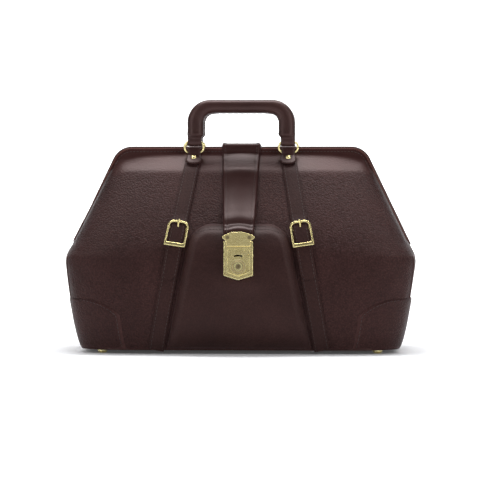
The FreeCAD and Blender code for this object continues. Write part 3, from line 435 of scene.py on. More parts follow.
def leather(name, dark, light, cell=2.3, grain=0.5, roughness=0.42, smooth_above=None, relief=0.55,
            shine=0.22):
    """Pebbled leather: cells of grain with fine creases, colour variation, painted shade in the grain's
    hollows and creases, and worn edges.
    """
    material, tree, shader = node_material(name)
    place = add(tree, "ShaderNodeTexCoord").outputs["Object"]
    bend = add(tree, "ShaderNodeTexNoise", Scale=210.0, Detail=2.0, at=place)
    warped = mixed(tree, "LINEAR_LIGHT", 0.0022, place, bend.outputs["Color"])
    cells = add(tree, "ShaderNodeTexVoronoi", Scale=1000.0 / cell, Randomness=0.9, at=warped)
    cells.feature = "SMOOTH_F1"
    cells.inputs["Smoothness"].default_value = 0.35
    creases = add(tree, "ShaderNodeTexVoronoi", Scale=1000.0 / (cell * 1.5), Randomness=1.0, at=warped)
    creases.feature = "DISTANCE_TO_EDGE"
    pores = add(tree, "ShaderNodeTexNoise", Scale=2600.0, Detail=3.0, Roughness=0.6, at=place)
    broad = add(tree, "ShaderNodeTexNoise", Scale=19.0, Detail=3.0, Roughness=0.55, at=place)

    dome = maths(tree, "SUBTRACT", 0.62, cells.outputs["Distance"])
    valley = maths(tree, "MINIMUM", maths(tree, "MULTIPLY", creases.outputs["Distance"], 5.0), 1.0)
    height = maths(tree, "ADD", dome, maths(tree, "MULTIPLY", valley, 0.25))
    height = maths(tree, "ADD", height, maths(tree, "MULTIPLY", pores.outputs["Fac"], 0.12))
    strength = grain
    if smooth_above is not None:
        split = add(tree, "ShaderNodeSeparateXYZ", at=place)
        low, high, least = smooth_above
        strength = spread(tree, split.outputs["Z"], low * MM, high * MM, grain, least, "SMOOTHSTEP")
    bump = add(tree, "ShaderNodeBump", Distance=relief * MM)
    tree.links.new(height, bump.inputs["Height"])
    if isinstance(strength, float):
        bump.inputs["Strength"].default_value = strength
    else:
        tree.links.new(strength, bump.inputs["Strength"])
    tree.links.new(bump.outputs["Normal"], shader.inputs["Normal"])

    color = ramp(tree, broad.outputs["Fac"], 0.3, 0.72, dark, light)
    # Painted shade: the hollows between the grain's cells and the fine creases are darkened in the colour,
    # as well as in the bump.
    pit_shade = ramp(tree, cells.outputs["Distance"], 0.25, 0.62, (1.0, 1.0, 1.0), (0.42, 0.36, 0.36))
    color = mixed(tree, "MULTIPLY", strength, color, pit_shade)
    shade = ramp(tree, valley, 0.0, 0.7, (0.5, 0.45, 0.45), (1.0, 1.0, 1.0))
    color = mixed(tree, "MULTIPLY", strength, color, shade)
    worn = tree.nodes.new("ShaderNodeNewGeometry").outputs["Pointiness"]
    wear = ramp(tree, worn, 0.515, 0.60, (0.0, 0.0, 0.0), (0.42, 0.42, 0.42))
    color = mixed(tree, "MIX", wear, color, tuple(min(2.2 * v + 0.01, 1) for v in light) + (1,))
    tree.links.new(color, shader.inputs["Base Color"])
    coarse = 0.32
    base = roughness if smooth_above else roughness + coarse * grain
    rough = spread(tree, broad.outputs["Fac"], 0, 1, base - 0.05, base + 0.08)
    if smooth_above:
        rough = maths(tree, "ADD", rough, maths(tree, "MULTIPLY", strength, coarse))
    tree.links.new(rough, shader.inputs["Roughness"])
    shader.inputs["Specular IOR Level"].default_value = shine
    shader.inputs["Specular Tint"].default_value = (1.0, 0.72, 0.70, 1.0)
    return material


def metal(name, color, tarnish, roughness, brushed=0.05):
    """Satin metal: fine brush marks, slight tarnish in broad patches and brighter worn edges."""
    material, tree, shader = node_material(name)
    place = add(tree, "ShaderNodeTexCoord").outputs["Object"]
    stretch = add(tree, "ShaderNodeMapping", at=place)
    stretch.inputs["Scale"].default_value = (1.0, 1.0, 9.0)
    marks = add(tree, "ShaderNodeTexNoise", Scale=900.0, Detail=4.0, Roughness=0.7)
    tree.links.new(stretch.outputs["Vector"], marks.inputs["Vector"])
    patches = add(tree, "ShaderNodeTexNoise", Scale=90.0, Detail=3.0, at=place)
    tone = ramp(tree, patches.outputs["Fac"], 0.3, 0.75, tarnish, color)
    worn = tree.nodes.new("ShaderNodeNewGeometry").outputs["Pointiness"]
    wear = ramp(tree, worn, 0.51, 0.58, (0.0, 0.0, 0.0), (0.6, 0.6, 0.6))
    bright = tuple(min(v * 1.15 + 0.05, 1) for v in color) + (1,)
    tree.links.new(mixed(tree, "MIX", wear, tone, bright), shader.inputs["Base Color"])
    rough = spread(tree, marks.outputs["Fac"], 0, 1, roughness - 0.04, roughness + 0.04)
    tree.links.new(rough, shader.inputs["Roughness"])
    bump = add(tree, "ShaderNodeBump", Strength=brushed, Distance=0.0001)
    tree.links.new(marks.outputs["Fac"], bump.inputs["Height"])
    tree.links.new(bump.outputs["Normal"], shader.inputs["Normal"])
    shader.inputs["Metallic"].default_value = 1.0
    return material


def fibre(name, dark, light, scale=1400.0, roughness=0.85, bumpiness=0.4):
    """Suede lining, thread or board: short fibres in two tones."""
    material, tree, shader = node_material(name)
    place = add(tree, "ShaderNodeTexCoord").outputs["Object"]
    hairs = add(tree, "ShaderNodeTexNoise", Scale=scale, Detail=5.0, Roughness=0.7, at=place)
    tree.links.new(ramp(tree, hairs.outputs["Fac"], 0.3, 0.7, dark, light), shader.inputs["Base Color"])
    bump = add(tree, "ShaderNodeBump", Strength=bumpiness, Distance=0.0003)
    tree.links.new(hairs.outputs["Fac"], bump.inputs["Height"])
    tree.links.new(bump.outputs["Normal"], shader.inputs["Normal"])
    shader.inputs["Roughness"].default_value = roughness
    return material


BODY = leather("body_leather_look", (0.030, 0.0115, 0.0105), (0.046, 0.0185, 0.0170), cell=2.1, grain=0.7,
               roughness=0.27, smooth_above=(212, 226, 0.10), relief=0.8, shine=0.21)
FLAP = leather("flap_leather_look", (0.021, 0.0085, 0.0078), (0.031, 0.013, 0.012), cell=1.2, grain=0.10,
               roughness=0.25, shine=0.2)
SMOOTH = leather("trim_leather_look", (0.022, 0.009, 0.008), (0.034, 0.0145, 0.013), cell=1.3, grain=0.16,
                 roughness=0.31, shine=0.34)
POCKET = leather("pocket_leather_look", (0.023, 0.0092, 0.0083), (0.035, 0.015, 0.0135), cell=1.9,
                 grain=0.42,
                 roughness=0.38)
STRAP = leather("strap_leather_look", (0.022, 0.009, 0.008), (0.034, 0.0145, 0.013), cell=1.9, grain=0.5,
                roughness=0.40)
LINING = fibre("suede_lining", (0.16, 0.105, 0.07), (0.25, 0.17, 0.12))
THREAD = fibre("waxed_thread", (0.018, 0.0085, 0.0075), (0.036, 0.017, 0.015), scale=3200.0, roughness=0.55)
EDGE = leather("edge_dye", (0.050, 0.016, 0.012), (0.080, 0.026, 0.020), cell=0.9, grain=0.08,
               roughness=0.34)
BRASS = metal("satin_brass", (0.90, 0.77, 0.38), (0.80, 0.67, 0.31), 0.27)
# Dark brass: darker brass on the hasp rivets, and painted shade on the key plug and in the rings at the
# knob's steps.
DARK_AND_SHADE_BRASS = metal("dark_brass_and_shade", (0.34, 0.27, 0.13), (0.20, 0.155, 0.08), 0.38)
# Near-black steel: painted shade for the bolt and cam seen inside the lock's slot.
SLOT_SHADE_STEEL = metal("slot_shade_steel", (0.030, 0.028, 0.028), (0.015, 0.014, 0.014), 0.45)
STEEL = metal("plated_steel", (0.62, 0.62, 0.64), (0.48, 0.48, 0.50), 0.34)
BOARD = fibre("pressed_board", (0.20, 0.13, 0.085), (0.30, 0.21, 0.145), scale=600.0)
CORE = fibre("pressed_cord", (0.30, 0.23, 0.15), (0.45, 0.36, 0.25), scale=900.0)
SLOT_LOOKS = {"body_leather": BODY, "trim_leather": SMOOTH, "brass": BRASS, "steel": STEEL,
              "core": CORE, "board": BOARD}
slots = {part["node"]: part["material_slot"] for part in frame["record"]["subparts"]}
# Single parts: dark brass on the hasp rivets and on the key plug, which is painted shade in the knob's
# middle; near-black steel on the bolt and cam, painted shade in the lock's slot.
LOOKS = {"key_plug": DARK_AND_SHADE_BRASS, "hasp_rivets": DARK_AND_SHADE_BRASS, "latch_bolt": SLOT_SHADE_STEEL, "knob_cam": SLOT_SHADE_STEEL}
for node, item in frame["nodes"].items():
    item.data.materials.clear()
    item.data.materials.append(LOOKS.get(node, SLOT_LOOKS[slots[node]]))


def jaw_blend(item):
    """Bakes the transform of leather that leaves the stiff walls and goes up to the swinging jaw."""
    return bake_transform(item)


# ---- front and back panels

def seam_angle(z):
    """Where the plan outline meets the corner seam, in degrees from the front's middle."""
    across = roundness(z)[1]
    return degrees(acos((SEAM / half_depth(z)) ** (across / 2)))


def ripple(x, z, seed):
    """The slow unevenness of stretched leather, with soft folds fanning from the hinges."""
    wave = sin(x * 0.043 + seed) * sin(z * 0.061 + 2.1 * seed)
    wave += 0.6 * sin(x * 0.091 - z * 0.037 + 3.3 * seed)
    reach = hypot(abs(x) - HALF_LENGTH, z - HINGE)
    fan = atan2(z - HINGE, HALF_LENGTH - abs(x) + 1)
    folds = sin(fan * 15 + seed) * exp(-((reach - 52) / 34) ** 2)
    quiet = clamp((abs(x) - 105) / 60)
    top = clamp((224 - z) / 40)
    return (0.16 * wave * (0.3 + 0.7 * quiet) + 0.2 * folds * quiet) * top


def panel_rows(seed):
    core = 0.8
    shares = [-1 + 0.2 * n / 10 for n in range(10)]
    shares += [-core + 2 * core * n / 88 for n in range(89)]
    shares += [core + 0.2 * (n + 1) / 10 for n in range(10)]
    low = FLOOR + 0.4
    heights = [low + (HINGE - low) * n / 38 for n in range(38)]
    top = CROWN - 2.6
    heights += [HINGE + (top - 26 - HINGE) * n / 40 for n in range(41)]
    heights += [top - 26 + 26 * sin(pi / 2 * n / 14) for n in range(1, 15)]
    rows = []
    for z in heights:
        row = []
        for share in shares:
            if z < HINGE:
                x, y = plan_point(share / core * seam_angle(z), z)
            else:
                inset = 2.6 * min((z - HINGE) / 16, 1)
                reach = arch_x(z, inset) + half_length(z) - length_profile(z)
                x = plan_point(share * 90, z)[0] / half_length(z) * reach
                y = plan_point(share * 90, z)[1]
                settle = min((z - HINGE) / 6, 1)
                y = y + (-soft_max(-y, RAIL_BACK + 0.9, 2.4) - y) * (settle if abs(share) > core else 1)
            y -= ripple(x, z, seed)
            row.append(Vector((x, y, z)))
        rows.append(row)
    return rows, heights, shares


def panels():
    for face, facing in FACES.items():
        rows, heights, shares = panel_rows(0.7 if face == "front" else 2.9)
        if face == "back":
            rows = flipped(rows)

        def keep(r, c):
            outside = abs(shares[c] + shares[c + 1]) / 2 > 0.8
            return not (outside and heights[r] < HINGE - 0.01)

        item = grid("panel_" + face, rows, BODY, (0, facing, 0), keep)
        thickened(item, 2.2, inside=LINING)
        jaw_blend(item)
        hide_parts(face + "_panel_lower", face + "_panel_upper", "mouth_band_" + face)


def gussets():
    for side, sign in SIDES.items():
        low = FLOOR + 0.4
        rows = []
        for n in range(34):
            z = low + (HINGE - low) * n / 33
            edge = seam_angle(z)
            row = []
            for k in range(41):
                share = -1 + 2 * k / 40
                x, y = plan_point(90 + share * (90 - edge), z)
                dent = 1.1 * (1 - share ** 2) * sin(pi * min(n / 33, 1)) ** 2
                row.append(Vector((sign * (x - dent), y, z)))
            rows.append(row)
        item = grid("gusset_skin_" + side, rows, BODY, (sign, 0, 0))
        thickened(item, 2.2, inside=LINING)
        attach(item, "bag_body")
        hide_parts("gusset_" + side)
        top = rows[-1]
        welt = [p + Vector((-sign * 1.2, 0, -0.3)) for p in top]
        rim = cord_along("gusset_rim_" + side, welt, 1.4, SMOOTH)
        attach(rim, "bag_body")
        for face, facing in FACES.items():
            column = [row[0 if face == "front" else -1] for row in rows]
            line = [p + Vector((-sign * 0.3, facing * 0.2, 0)) for p in column]
            seam = cord_along("seam_welt_%s_%s" % (face, side), line, 1.3, SMOOTH)
            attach(seam, "bag_body")
            fold_half(side, sign, face, facing)


def fold_half(side, sign, face, facing):
    """Half of the gusset's inner fold, from its middle crease to one leg of the frame."""
    rows = []
    for n in range(26):
        share = n / 25
        z = HINGE + 3 + 104 * share
        leg_x = arch_x(z, 6.5) + half_length(z) - length_profile(z)
        depth = 30 * sin(pi / 2 * share) + 3
        row = []
        for k in range(13):
            t = k / 12
            bulge = 2.5 * sin(pi * t) * share
            x, y = leg_x - depth * (1 - t) - bulge, 0.4 + (RAIL_BACK - 0.2) * t
            row.append(Vector((sign * x, facing * y, z)))
        rows.append(row)
    item = grid("gusset_fold_%s_%s" % (face, side), rows, BODY, (sign, 0, 0))
    thickened(item, 1.2, inside=LINING)
    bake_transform(item)


# ---- the mouth's rails

def arch_path(inset, foot, steps=10):
    """The arch's line in the XZ plane with its inward direction, from one leg foot to the other."""
    lean = hypot(SLOPE, 1)
    leg = lambda z: HALF_LENGTH - SLOPE * (z - HINGE) - inset * lean
    crown, radius = CROWN - inset, SHOULDER - inset
    tangent = radius * tan(atan2(1, SLOPE) / 2)
    centre = (leg(crown) - tangent, crown - radius)
    sweep = atan2(1, SLOPE)
    half = []
    on_leg = crown - tangent / lean
    for n in range(24):
        z = foot + (on_leg - foot) * n / 24
        half.append((leg(z), z, -1 / lean, -SLOPE / lean))
    for n in range(steps + 1):
        angle = (pi / 2 - sweep) + sweep * n / steps
        half.append((centre[0] + radius * cos(angle), centre[1] + radius * sin(angle),
                     -cos(angle), -sin(angle)))
    for n in range(1, 27):
        half.append((centre[0] * (1 - n / 27), crown, 0.0, -1.0))
    full = half + [(0.0, crown, 0.0, -1.0)] + [(-x, z, -i, j) for x, z, i, j in half[::-1]]
    return full


def rails():
    low, high = node_box("frame_rail_front")
    near, far = -high[1], -low[1]
    for face, facing in FACES.items():
        rings = []
        for x, z, inward_x, inward_z in arch_path(0, HINGE + 12.6):
            ring = []
            for angle in circle(24):
                c, s = cos(angle), sin(angle)
                inward = 5.6 - 5.6 * signed(c, 0.5)
                depth = (near + far) / 2 + (far - near) / 2 * signed(s, 0.5)
                ring.append(Vector((x + inward_x * inward, facing * depth, z + inward_z * inward)))
            rings.append(ring)
        item = tube("rail_cover_" + face, rings, SMOOTH)
        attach(item, JAWS[face])
        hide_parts("frame_rail_" + face)
        for number, inset in ((1, 2.9), (2, 6.6)):
            line = []
            for x, z, _, _ in arch_path(inset, HINGE + 16):
                y = -soft_max(-front_y(x, min(z, CROWN - 1)), RAIL_BACK + 0.9, 2.4)
                line.append((Vector((x, facing * -(y - 0.25), z)), Vector((0, facing, 0))))
            if number == 1:
                bead = cord_along("mouth_bead_" + face, [p for p, _ in line], 0.75, EDGE)
            else:
                bead = stitches("mouth_stitches_" + face, line, THREAD, pitch=4.2, length=3.0, radius=0.36)
            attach(bead, JAWS[face])


# ---- base and corner patches

def rounded_rectangle(half_x, half_y, corner, steps=12):
    loop = []
    for quarter in range(4):
        turn = pi / 2 * quarter
        sx = 1 if quarter in (0, 3) else -1
        sy = 1 if quarter in (0, 1) else -1
        for n in range(steps + 1):
            angle = turn + pi / 2 * n / steps
            loop.append((sx * (half_x - corner) + corner * cos(angle),
                         sy * (half_y - corner) + corner * sin(angle)))
    return loop


def base_skin():
    low, high = node_box("base_cover")
    rings = []
    thickness = high[2] - low[2]
    for inset, z in ((26, 0.25), (8, 0.1), (2.0, 0.0), (0.6, 0.35), (0, 1.2), (0.6, thickness - 0.2),
                     (2.5, thickness), (26, thickness)):
        loop = rounded_rectangle(high[0] - inset, high[1] - inset, max(44 - inset, 6))
        rings.append([Vector((x, y, low[2] + z)) for x, y in loop])
    item = tube("base_skin", rings, SMOOTH)
    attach(item, "bag_body")
    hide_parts("base_cover")
    loop = rounded_rectangle(high[0] + 2.0, high[1] + 3.2, 46)
    path = [Vector((x, y, low[2] + 1.7)) for x, y in loop + loop[:1]]
    welt = cord_along("base_welt", path, 1.9, SMOOTH)
    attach(welt, "bag_body")


def wall_point(bearing, z, lift):
    """A point over the lower wall and the gusset alike, by its angle in the plan."""
    here = Vector((*plan_point(bearing, z), z))
    after = Vector((*plan_point(bearing + 0.5, z), z))
    normal = (after - here).cross(Vector((0, 0, 1))).normalized()
    if normal.dot(Vector((here.x, here.y, 0))) < 0:
        normal = -normal
    return here + normal * lift, normal


def corner_patches():
    length, height, low = 74.0, 62.0, FLOOR + 0.3
    centre = FLOOR_HALF_LENGTH + 4
    for face, facing, side, sign in quarters():
        rows, edge_line = [], []
        for r in range(25):
            v = sin(pi / 2 * r / 24)
            z = low + height * v
            inner = centre - length * sqrt(max(1 - v * v, 0))
            row = []
            first = max(front_angle(min(inner, half_length(z) - 6.0), z), 20)
            for c in range(29):
                u = c / 28
                bearing = first + (86 - first) * u
                sunk = min(u / 0.05, (1 - u) / 0.05, (1 - v) / 0.04 if v < 1 else 0, 1)
                point, normal = wall_point(bearing, z, 0.2 + 1.0 * max(sunk, 0) ** 0.5)
                row.append(mirrored(point, sign, facing))
            rows.append(row)
            if 1 <= r <= 23:
                point, normal = wall_point(first + 2.0, z - 1.2, 1.25)
                edge_line.append((Vector((sign * point.x, -facing * point.y, z - 1.5)),
                                  Vector((sign * normal.x, -facing * normal.y, 0))))
        item = grid("corner_%s_%s" % (face, side), rows, BODY, (0, facing, 0))
        thickened(item, 1.2)
        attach(item, "bag_body")
        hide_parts("corner_patch_%s_%s" % (face, side))
        sewn = stitches("corner_stitches_%s_%s" % (face, side), edge_line, THREAD, radius=0.38)
        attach(sewn, "bag_body")


def front_angle(x, z):
    """The plan angle that gives this X at this height."""
    along = roundness(z)[0]
    share = min(max(x, 0) / half_length(z), 1)
    return degrees(asin(min(share ** (along / 2), 1)))


# ---- front pocket

def pocket_half_width(z):
    share = (z - FLOOR) / (POCKET_TOP - FLOOR)
    return POCKET_HALF_FOOT + (POCKET_HALF_TOP - POCKET_HALF_FOOT) * share


def pocket_lift(z):
    share = clamp((z - FLOOR) / 45)
    return STAND_OFF * sin(share * pi / 2) ** 0.8


def lock_point(x, out, up):
    """A point in the lock's own frame: across, out from the pocket's face, and up its face."""
    height = (LOCK_FOOT + LOCK_TOP) / 2
    y = front_y(0, height) - pocket_lift(height) - 1.6
    tilt = radians(LOCK_TILT)
    return Vector((x, y - out * cos(tilt) + up * sin(tilt),
                   height + out * sin(tilt) + up * cos(tilt)))


def front_pocket():
    corner, rows = 24.0, []
    columns = [-1 + 2 * n / 96 for n in range(97)]
    columns = [signed(u, 0.85) for u in columns]
    low, top = FLOOR + 2.5, POCKET_TOP - 0.3
    for r in range(73):
        row = []
        for u in columns:
            half_top = pocket_half_width(top)
            reach = abs(u) * half_top
            drop = 0.0
            if reach > half_top - corner:
                drop = corner - sqrt(max(corner ** 2 - (reach - half_top + corner) ** 2, 0))
            z = low + (top - drop - low) * (r / 72)
            half = pocket_half_width(z)
            x = u * half
            edge = half - abs(x)
            crown = hypot(max(corner - edge, 0), max(corner - (top - z), 0))
            roll = min(edge, corner - crown if crown > 0 and top - z < corner else edge)
            rise = sin(clamp(roll / 13.0) * pi / 2) ** 0.75
            mouth = clamp((top - z) / 18)
            rise = max(rise, 0.0)
            out = 0.9 + pocket_lift(z) * rise
            near_lock = (1.2 + 1.5 * min(((z - 112) / 24) ** 2, 1)) * exp(-((z - 110) / 33) ** 4)
            out += near_lock * exp(-(x / 25) ** 4)
            out -= 1.3 * (1 - mouth) * exp(-(x / 40) ** 2)
            row.append(Vector((x, front_y(x, z) - out, z)))
        rows.append(row)
    item = grid("pocket", rows, POCKET, (0, -1, 0))
    thickened(item, 2.0, inside=LINING)
    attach(item, "bag_body")
    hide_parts("front_pocket")
    for number, inset in ((1, 3.0), (2, 6.2)):
        line = []
        for n in range(6, 91):
            column = [row[n] for row in rows]
            index = 72 - inset / 2.05
            below = int(index)
            point = column[below].lerp(column[below + 1], index - below)
            line.append((point + Vector((0, -0.25, 0)), Vector((0, -1, 0.15))))
        sewn = stitches("pocket_hem_%d" % number, line, THREAD, pitch=3.9, length=2.8, radius=0.36)
        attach(sewn, "bag_body")
    for side, sign in SIDES.items():
        line = []
        for r in range(2, 62):
            z = rows[r][0].z
            x = sign * (pocket_half_width(z) - 1.2)
            line.append((Vector((x, front_y(x, z) - 3.6, z)), Vector((sign * 0.8, -0.6, 0))))
        sewn = stitches("pocket_seam_" + side, line, THREAD, pitch=3.9, length=2.8, radius=0.34)
        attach(sewn, "bag_body")


# ---- straps

def strap_x(z):
    share = (z - FLOOR) / (STRAP_TOP - FLOOR)
    return STRAP_FOOT_X + (STRAP_HEAD_X - STRAP_FOOT_X) * share


def strap(name, stations, sign, tip=0.0):
    """A flat strap with rolled edges along the front: stations are heights and lifts."""
    spots = []
    for (z0, lift0), (z1, lift1) in zip(stations, stations[1:]):
        steps = max(int(abs(z1 - z0) / 3), 1)
        for n in range(steps):
            share = n / steps
            spots.append((z0 + (z1 - z0) * share, lift0 + (lift1 - lift0) * eased(share)))
    spots.append(stations[-1])
    rings, edges = [], {-1: [], 1: []}
    foot = spots[0][0]
    for z, lift in spots:
        width = STRAP_WIDTH
        if tip and z < foot + tip:
            share = (z - foot) / tip
            width = STRAP_WIDTH * min(0.16 + 1.1 * share ** 0.7, 1)
        x = strap_x(z)
        middle = on_front(x, z, lift)
        out = normal_at(x, z)
        along = (on_front(strap_x(z + 2), z + 2, lift) - middle).normalized()
        across = along.cross(out).normalized()
        ring = []
        for a, b in bean(width, 2.0, crown=0.3):
            spot = middle + across * a
            sag = skin_y(spot.x, z) - skin_y(x, z)
            spot += Vector((0, 0.75 * sag, 0)) + out * b
            ring.append(mirrored(spot, sign))
        rings.append(ring)
        for edge in edges:
            if width > STRAP_WIDTH * 0.7:
                spot = middle + across * edge * (width / 2 - 2.2) + out * 2.2
                edges[edge].append((mirrored(spot, sign), mirrored(out, sign)))
    item = tube(name, rings, STRAP)
    return item, edges


def straps():
    for side, sign in SIDES.items():
        lower = [(FLOOR + 0.8, 0.9), (BUCKLE_HEIGHT - 7, 0.9)]
        item, edges = strap("strap_low_" + side, lower, sign)
        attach(item, "bag_body")
        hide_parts("strap_lower_" + side)
        for edge, line in edges.items():
            sewn = stitches("strap_low_sewn_%s_%s" % (side, "ab"[edge > 0]), line, THREAD, radius=0.34)
            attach(sewn, "bag_body")
        upper = [(STRAP_TIP, 3.1), (BUCKLE_HEIGHT - 8, 3.1), (BAR_HEIGHT - 4.5, 4.0),
                 (BAR_HEIGHT + 2, 4.1), (BAR_HEIGHT + 6.5, 2.2), (BAR_HEIGHT + 15, 0.8),
                 (BAND_FOOT + 16, 0.5)]
        item, edges = strap("strap_high_" + side, upper, sign, tip=11)
        jaw_blend(item)
        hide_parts("strap_upper_" + side)
        for edge, line in edges.items():
            sewn = stitches("strap_high_sewn_%s_%s" % (side, "ab"[edge > 0]), line, THREAD, radius=0.34)
            jaw_blend(sewn)


# ---- flap

def flap_underside():
    """The flap's line from its seam on the back, over the mouth and down to the lock."""
    path = [(-front_y(9, z) + 0.9, z) for z in (225, 233, 241)]
    over = [(11.4, CROWN - 2.5), (10.6, CROWN + 0.2), (8.6, CROWN + 1.3), (0, CROWN + 1.5)]
    path += over + [(-y, z) for y, z in over[-2::-1]]
    for z, lift in ((241, 0.9), (230, 0.9), (BAND_FOOT, 1.0), (210, 0.9), (200, 1.3), (190, 2.9),
                    (180, 5.4), (170, 8.9), (161, 12.6)):
        path.append((front_y(0, z) - lift, z))
    path.append((front_y(0, 153) - STAND_OFF - 1.8, 153))
    middle = (LOCK_FOOT + LOCK_TOP) / 2
    for up, out in ((HASP_CROWN - middle + 1, 0.9), (LOCK_TOP - middle + 0.8, 2.0)):
        point = lock_point(0, out, up)
        path.append((point.y, point.z))
    return [Vector((0, y, z)) for y, z in path]


def smooth_path(points, step=2.0):
    """A Catmull-Rom curve through the points, at an even spacing."""
    dense = []
    padded = [points[0] * 2 - points[1]] + points + [points[-1] * 2 - points[-2]]
    for a, b, c, d in zip(padded, padded[1:], padded[2:], padded[3:]):
        for n in range(12):
            t = n / 12
            dense.append(0.5 * ((2 * b) + (c - a) * t + (2 * a - 5 * b + 4 * c - d) * t * t
                                + (3 * b - a - 3 * c + d) * t ** 3))
    dense.append(points[-1].copy())
    even, left = [dense[0]], step
    for a, b in zip(dense, dense[1:]):
        run = (b - a).length
        while run > left:
            a = a + (b - a) * (left / run)
            even.append(a)
            run = (b - a).length
            left = step
        left -= run
    even.append(dense[-1])
    return even


def flap():
    path = smooth_path(flap_underside())
    total = len(path) - 1
    rings, edges = [], {-1: [], 1: []}
    widths = [n / 30 * 2 - 1 for n in range(31)]
    for n, point in enumerate(path):
        along = (path[min(n + 1, total)] - path[max(n - 1, 0)]).normalized()
        out = Vector((0, along.z, -along.y))
        half = 24.0 - (24.0 - 18.25) * max(n / total - 0.25, 0) / 0.75
        end = min(n / 2, (total - n) / 2, 1) ** 0.5 if 0 < n < total else 0.35
        filled = min((total - n) / 9, max(CROWN - 6 - point.z, 0) / 26, 1) if point.y < 0 else 0.0
        top, under = [], []
        for u in widths:
            x = u * half
            edge = half - abs(x)
            bound = exp(-((edge - 2.4) / 1.7) ** 2)
            pad = (1 - (x / (half - 4.5)) ** 2) if edge > 4.5 else 0.0
            thick = 2.3 + 0.9 * bound + 2.9 * max(pad, 0) * filled
            if edge < 1.2:
                thick *= sqrt(max(1 - ((1.2 - edge) / 1.25) ** 2, 0.04))
            top.append(point + Vector((x, 0, 0)) + out * (thick * end + 0.2))
            under.append(point + Vector((x, 0, 0)) + out * 0.15)
        rings.append(top + under[::-1])
        for side in edges:
            edges[side].append((point + Vector((side * (half - 4.6), 0, 0)) + out * 2.75, out))
    item = tube("flap_pad", rings, FLAP)
    soft = item.modifiers.new("smooth", "SUBSURF")
    soft.levels = soft.render_levels = 1
    settled(item)
    flap_blend(item)
    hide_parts("flap_strap")
    for side, line in edges.items():
        sewn = stitches("flap_stitches_" + ("left" if side < 0 else "right"), line[1:-1], THREAD,
                        pitch=3.8, length=2.7, radius=0.36)
        flap_blend(sewn)


def flap_blend(item):
    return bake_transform(item)


# ---- handles, chapes

def handle_stations():
    """The handle's centre line: position and direction at each station."""
    radius, corner = 8.0, 20.0
    top, foot = HANDLE_TOP - radius, RING_TOP
    leg_end = top - corner
    line = []
    for n in range(22):
        z = foot + (leg_end - foot) * n / 22
        line.append((Vector((-HANDLE_X, z, 0)), Vector((0, 1, 0))))
    for n in range(17):
        angle = pi - pi / 2 * n / 16
        line.append((Vector((-HANDLE_X + corner + corner * cos(angle), leg_end + corner * sin(angle), 0)),
                     Vector((sin(angle), -cos(angle), 0))))
    for n in range(1, 24):
        x = -HANDLE_X + corner + (HANDLE_X - corner) * n / 24
        line.append((Vector((x, top, 0)), Vector((1, 0, 0))))
    left = line
    right = [(Vector((-p.x, p.y, 0)), Vector((t.x, -t.y, 0))) for p, t in left[::-1]]
    return left + [(Vector((0, top, 0)), Vector((1, 0, 0)))] + right


def handles():
    for face, facing in FACES.items():
        y = facing * -RING[1]
        stations = handle_stations()
        rings, seam = [], []
        marks = [0.0]
        for (p, _), (q, _) in zip(stations, stations[1:]):
            marks.append(marks[-1] + (q - p).length)
        distance = marks[-1]
        for (point, along), mark in zip(stations, marks):
            from_end = min(mark, distance - mark)
            flat = eased(clamp((9.0 - from_end) / 5.0))
            grown = 1.9 * clamp((64 - from_end) / 30)
            wide = 8.3 + grown - 1.5 * flat
            deep = 8.0 + (5.0 - 8.0) * flat
            wrinkle = 0.22 * sin(mark * 0.83) + 0.14 * sin(mark * 1.9 + 1)
            bend = 1.0 if abs(along.x) > 0.05 and abs(along.y) > 0.05 else 0.35
            collar = 0.3 * exp(-((from_end - 10) / 1.3) ** 2)
            inward = Vector((along.y, -along.x, 0))
            ring = []
            for angle in circle(28):
                c, s = cos(angle), sin(angle)
                power = 1.0 - 0.5 * flat
                a = (wide + collar) * signed(c, power)
                b = (deep + collar) * signed(s, power)
                pinch = wrinkle * bend * max(c, 0)
                spot = point + inward * (a + pinch + grown * (1 - 0.7 * flat))
                ring.append(Vector((spot.x, y + b, spot.y)))
            rings.append(ring)
            if from_end > 24:
                spot = point + inward * (8.0 + 2 * grown + wrinkle * bend)
                seam.append((Vector((spot.x, y, spot.y)), Vector((inward.x, 0, inward.y))))
        closing = ((5.2, 0.2), (4.8, 0.45), (3.9, 0.7), (2.2, 0.92))
        low, high = ([[Vector((v.x, y + (v.y - y) * share, v.z - drop)) for v in ring]
                      for drop, share in steps]
                     for ring, steps in ((rings[0], closing), (rings[-1], closing[::-1])))
        item = tube("handle_" + face, low + rings + high, SMOOTH)
        body = face + "_handle"
        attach(item, body)
        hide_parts("handle_grip_" + face)
        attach(stitches("handle_seam_" + face, seam, THREAD, pitch=4.0, length=2.9, radius=0.4), body)
        for side, sign in SIDES.items():
            line = []
            for n in range(21):
                x = sign * HANDLE_X - 6.2 + 12.4 * n / 20
                line.append((Vector((x, y + facing * 6.3, RING_TOP + 7.5)), Vector((0, facing, 0))))
            sewn = stitches("handle_tab_%s_%s" % (face, side), line, THREAD, pitch=2.9, length=2.1,
                            radius=0.36)
            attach(sewn, body)


def chape_frame():
    """The ring bar's centre with the band's upward and outward directions there."""
    low = Vector((0, front_y(HANDLE_X, 222.5), 222.5))
    high = Vector((0, front_y(HANDLE_X, 238.5), 238.5))
    up = (high - low).normalized()
    return Vector((0, RING[1], RING[2])), up, Vector((0, -up.z, up.y))


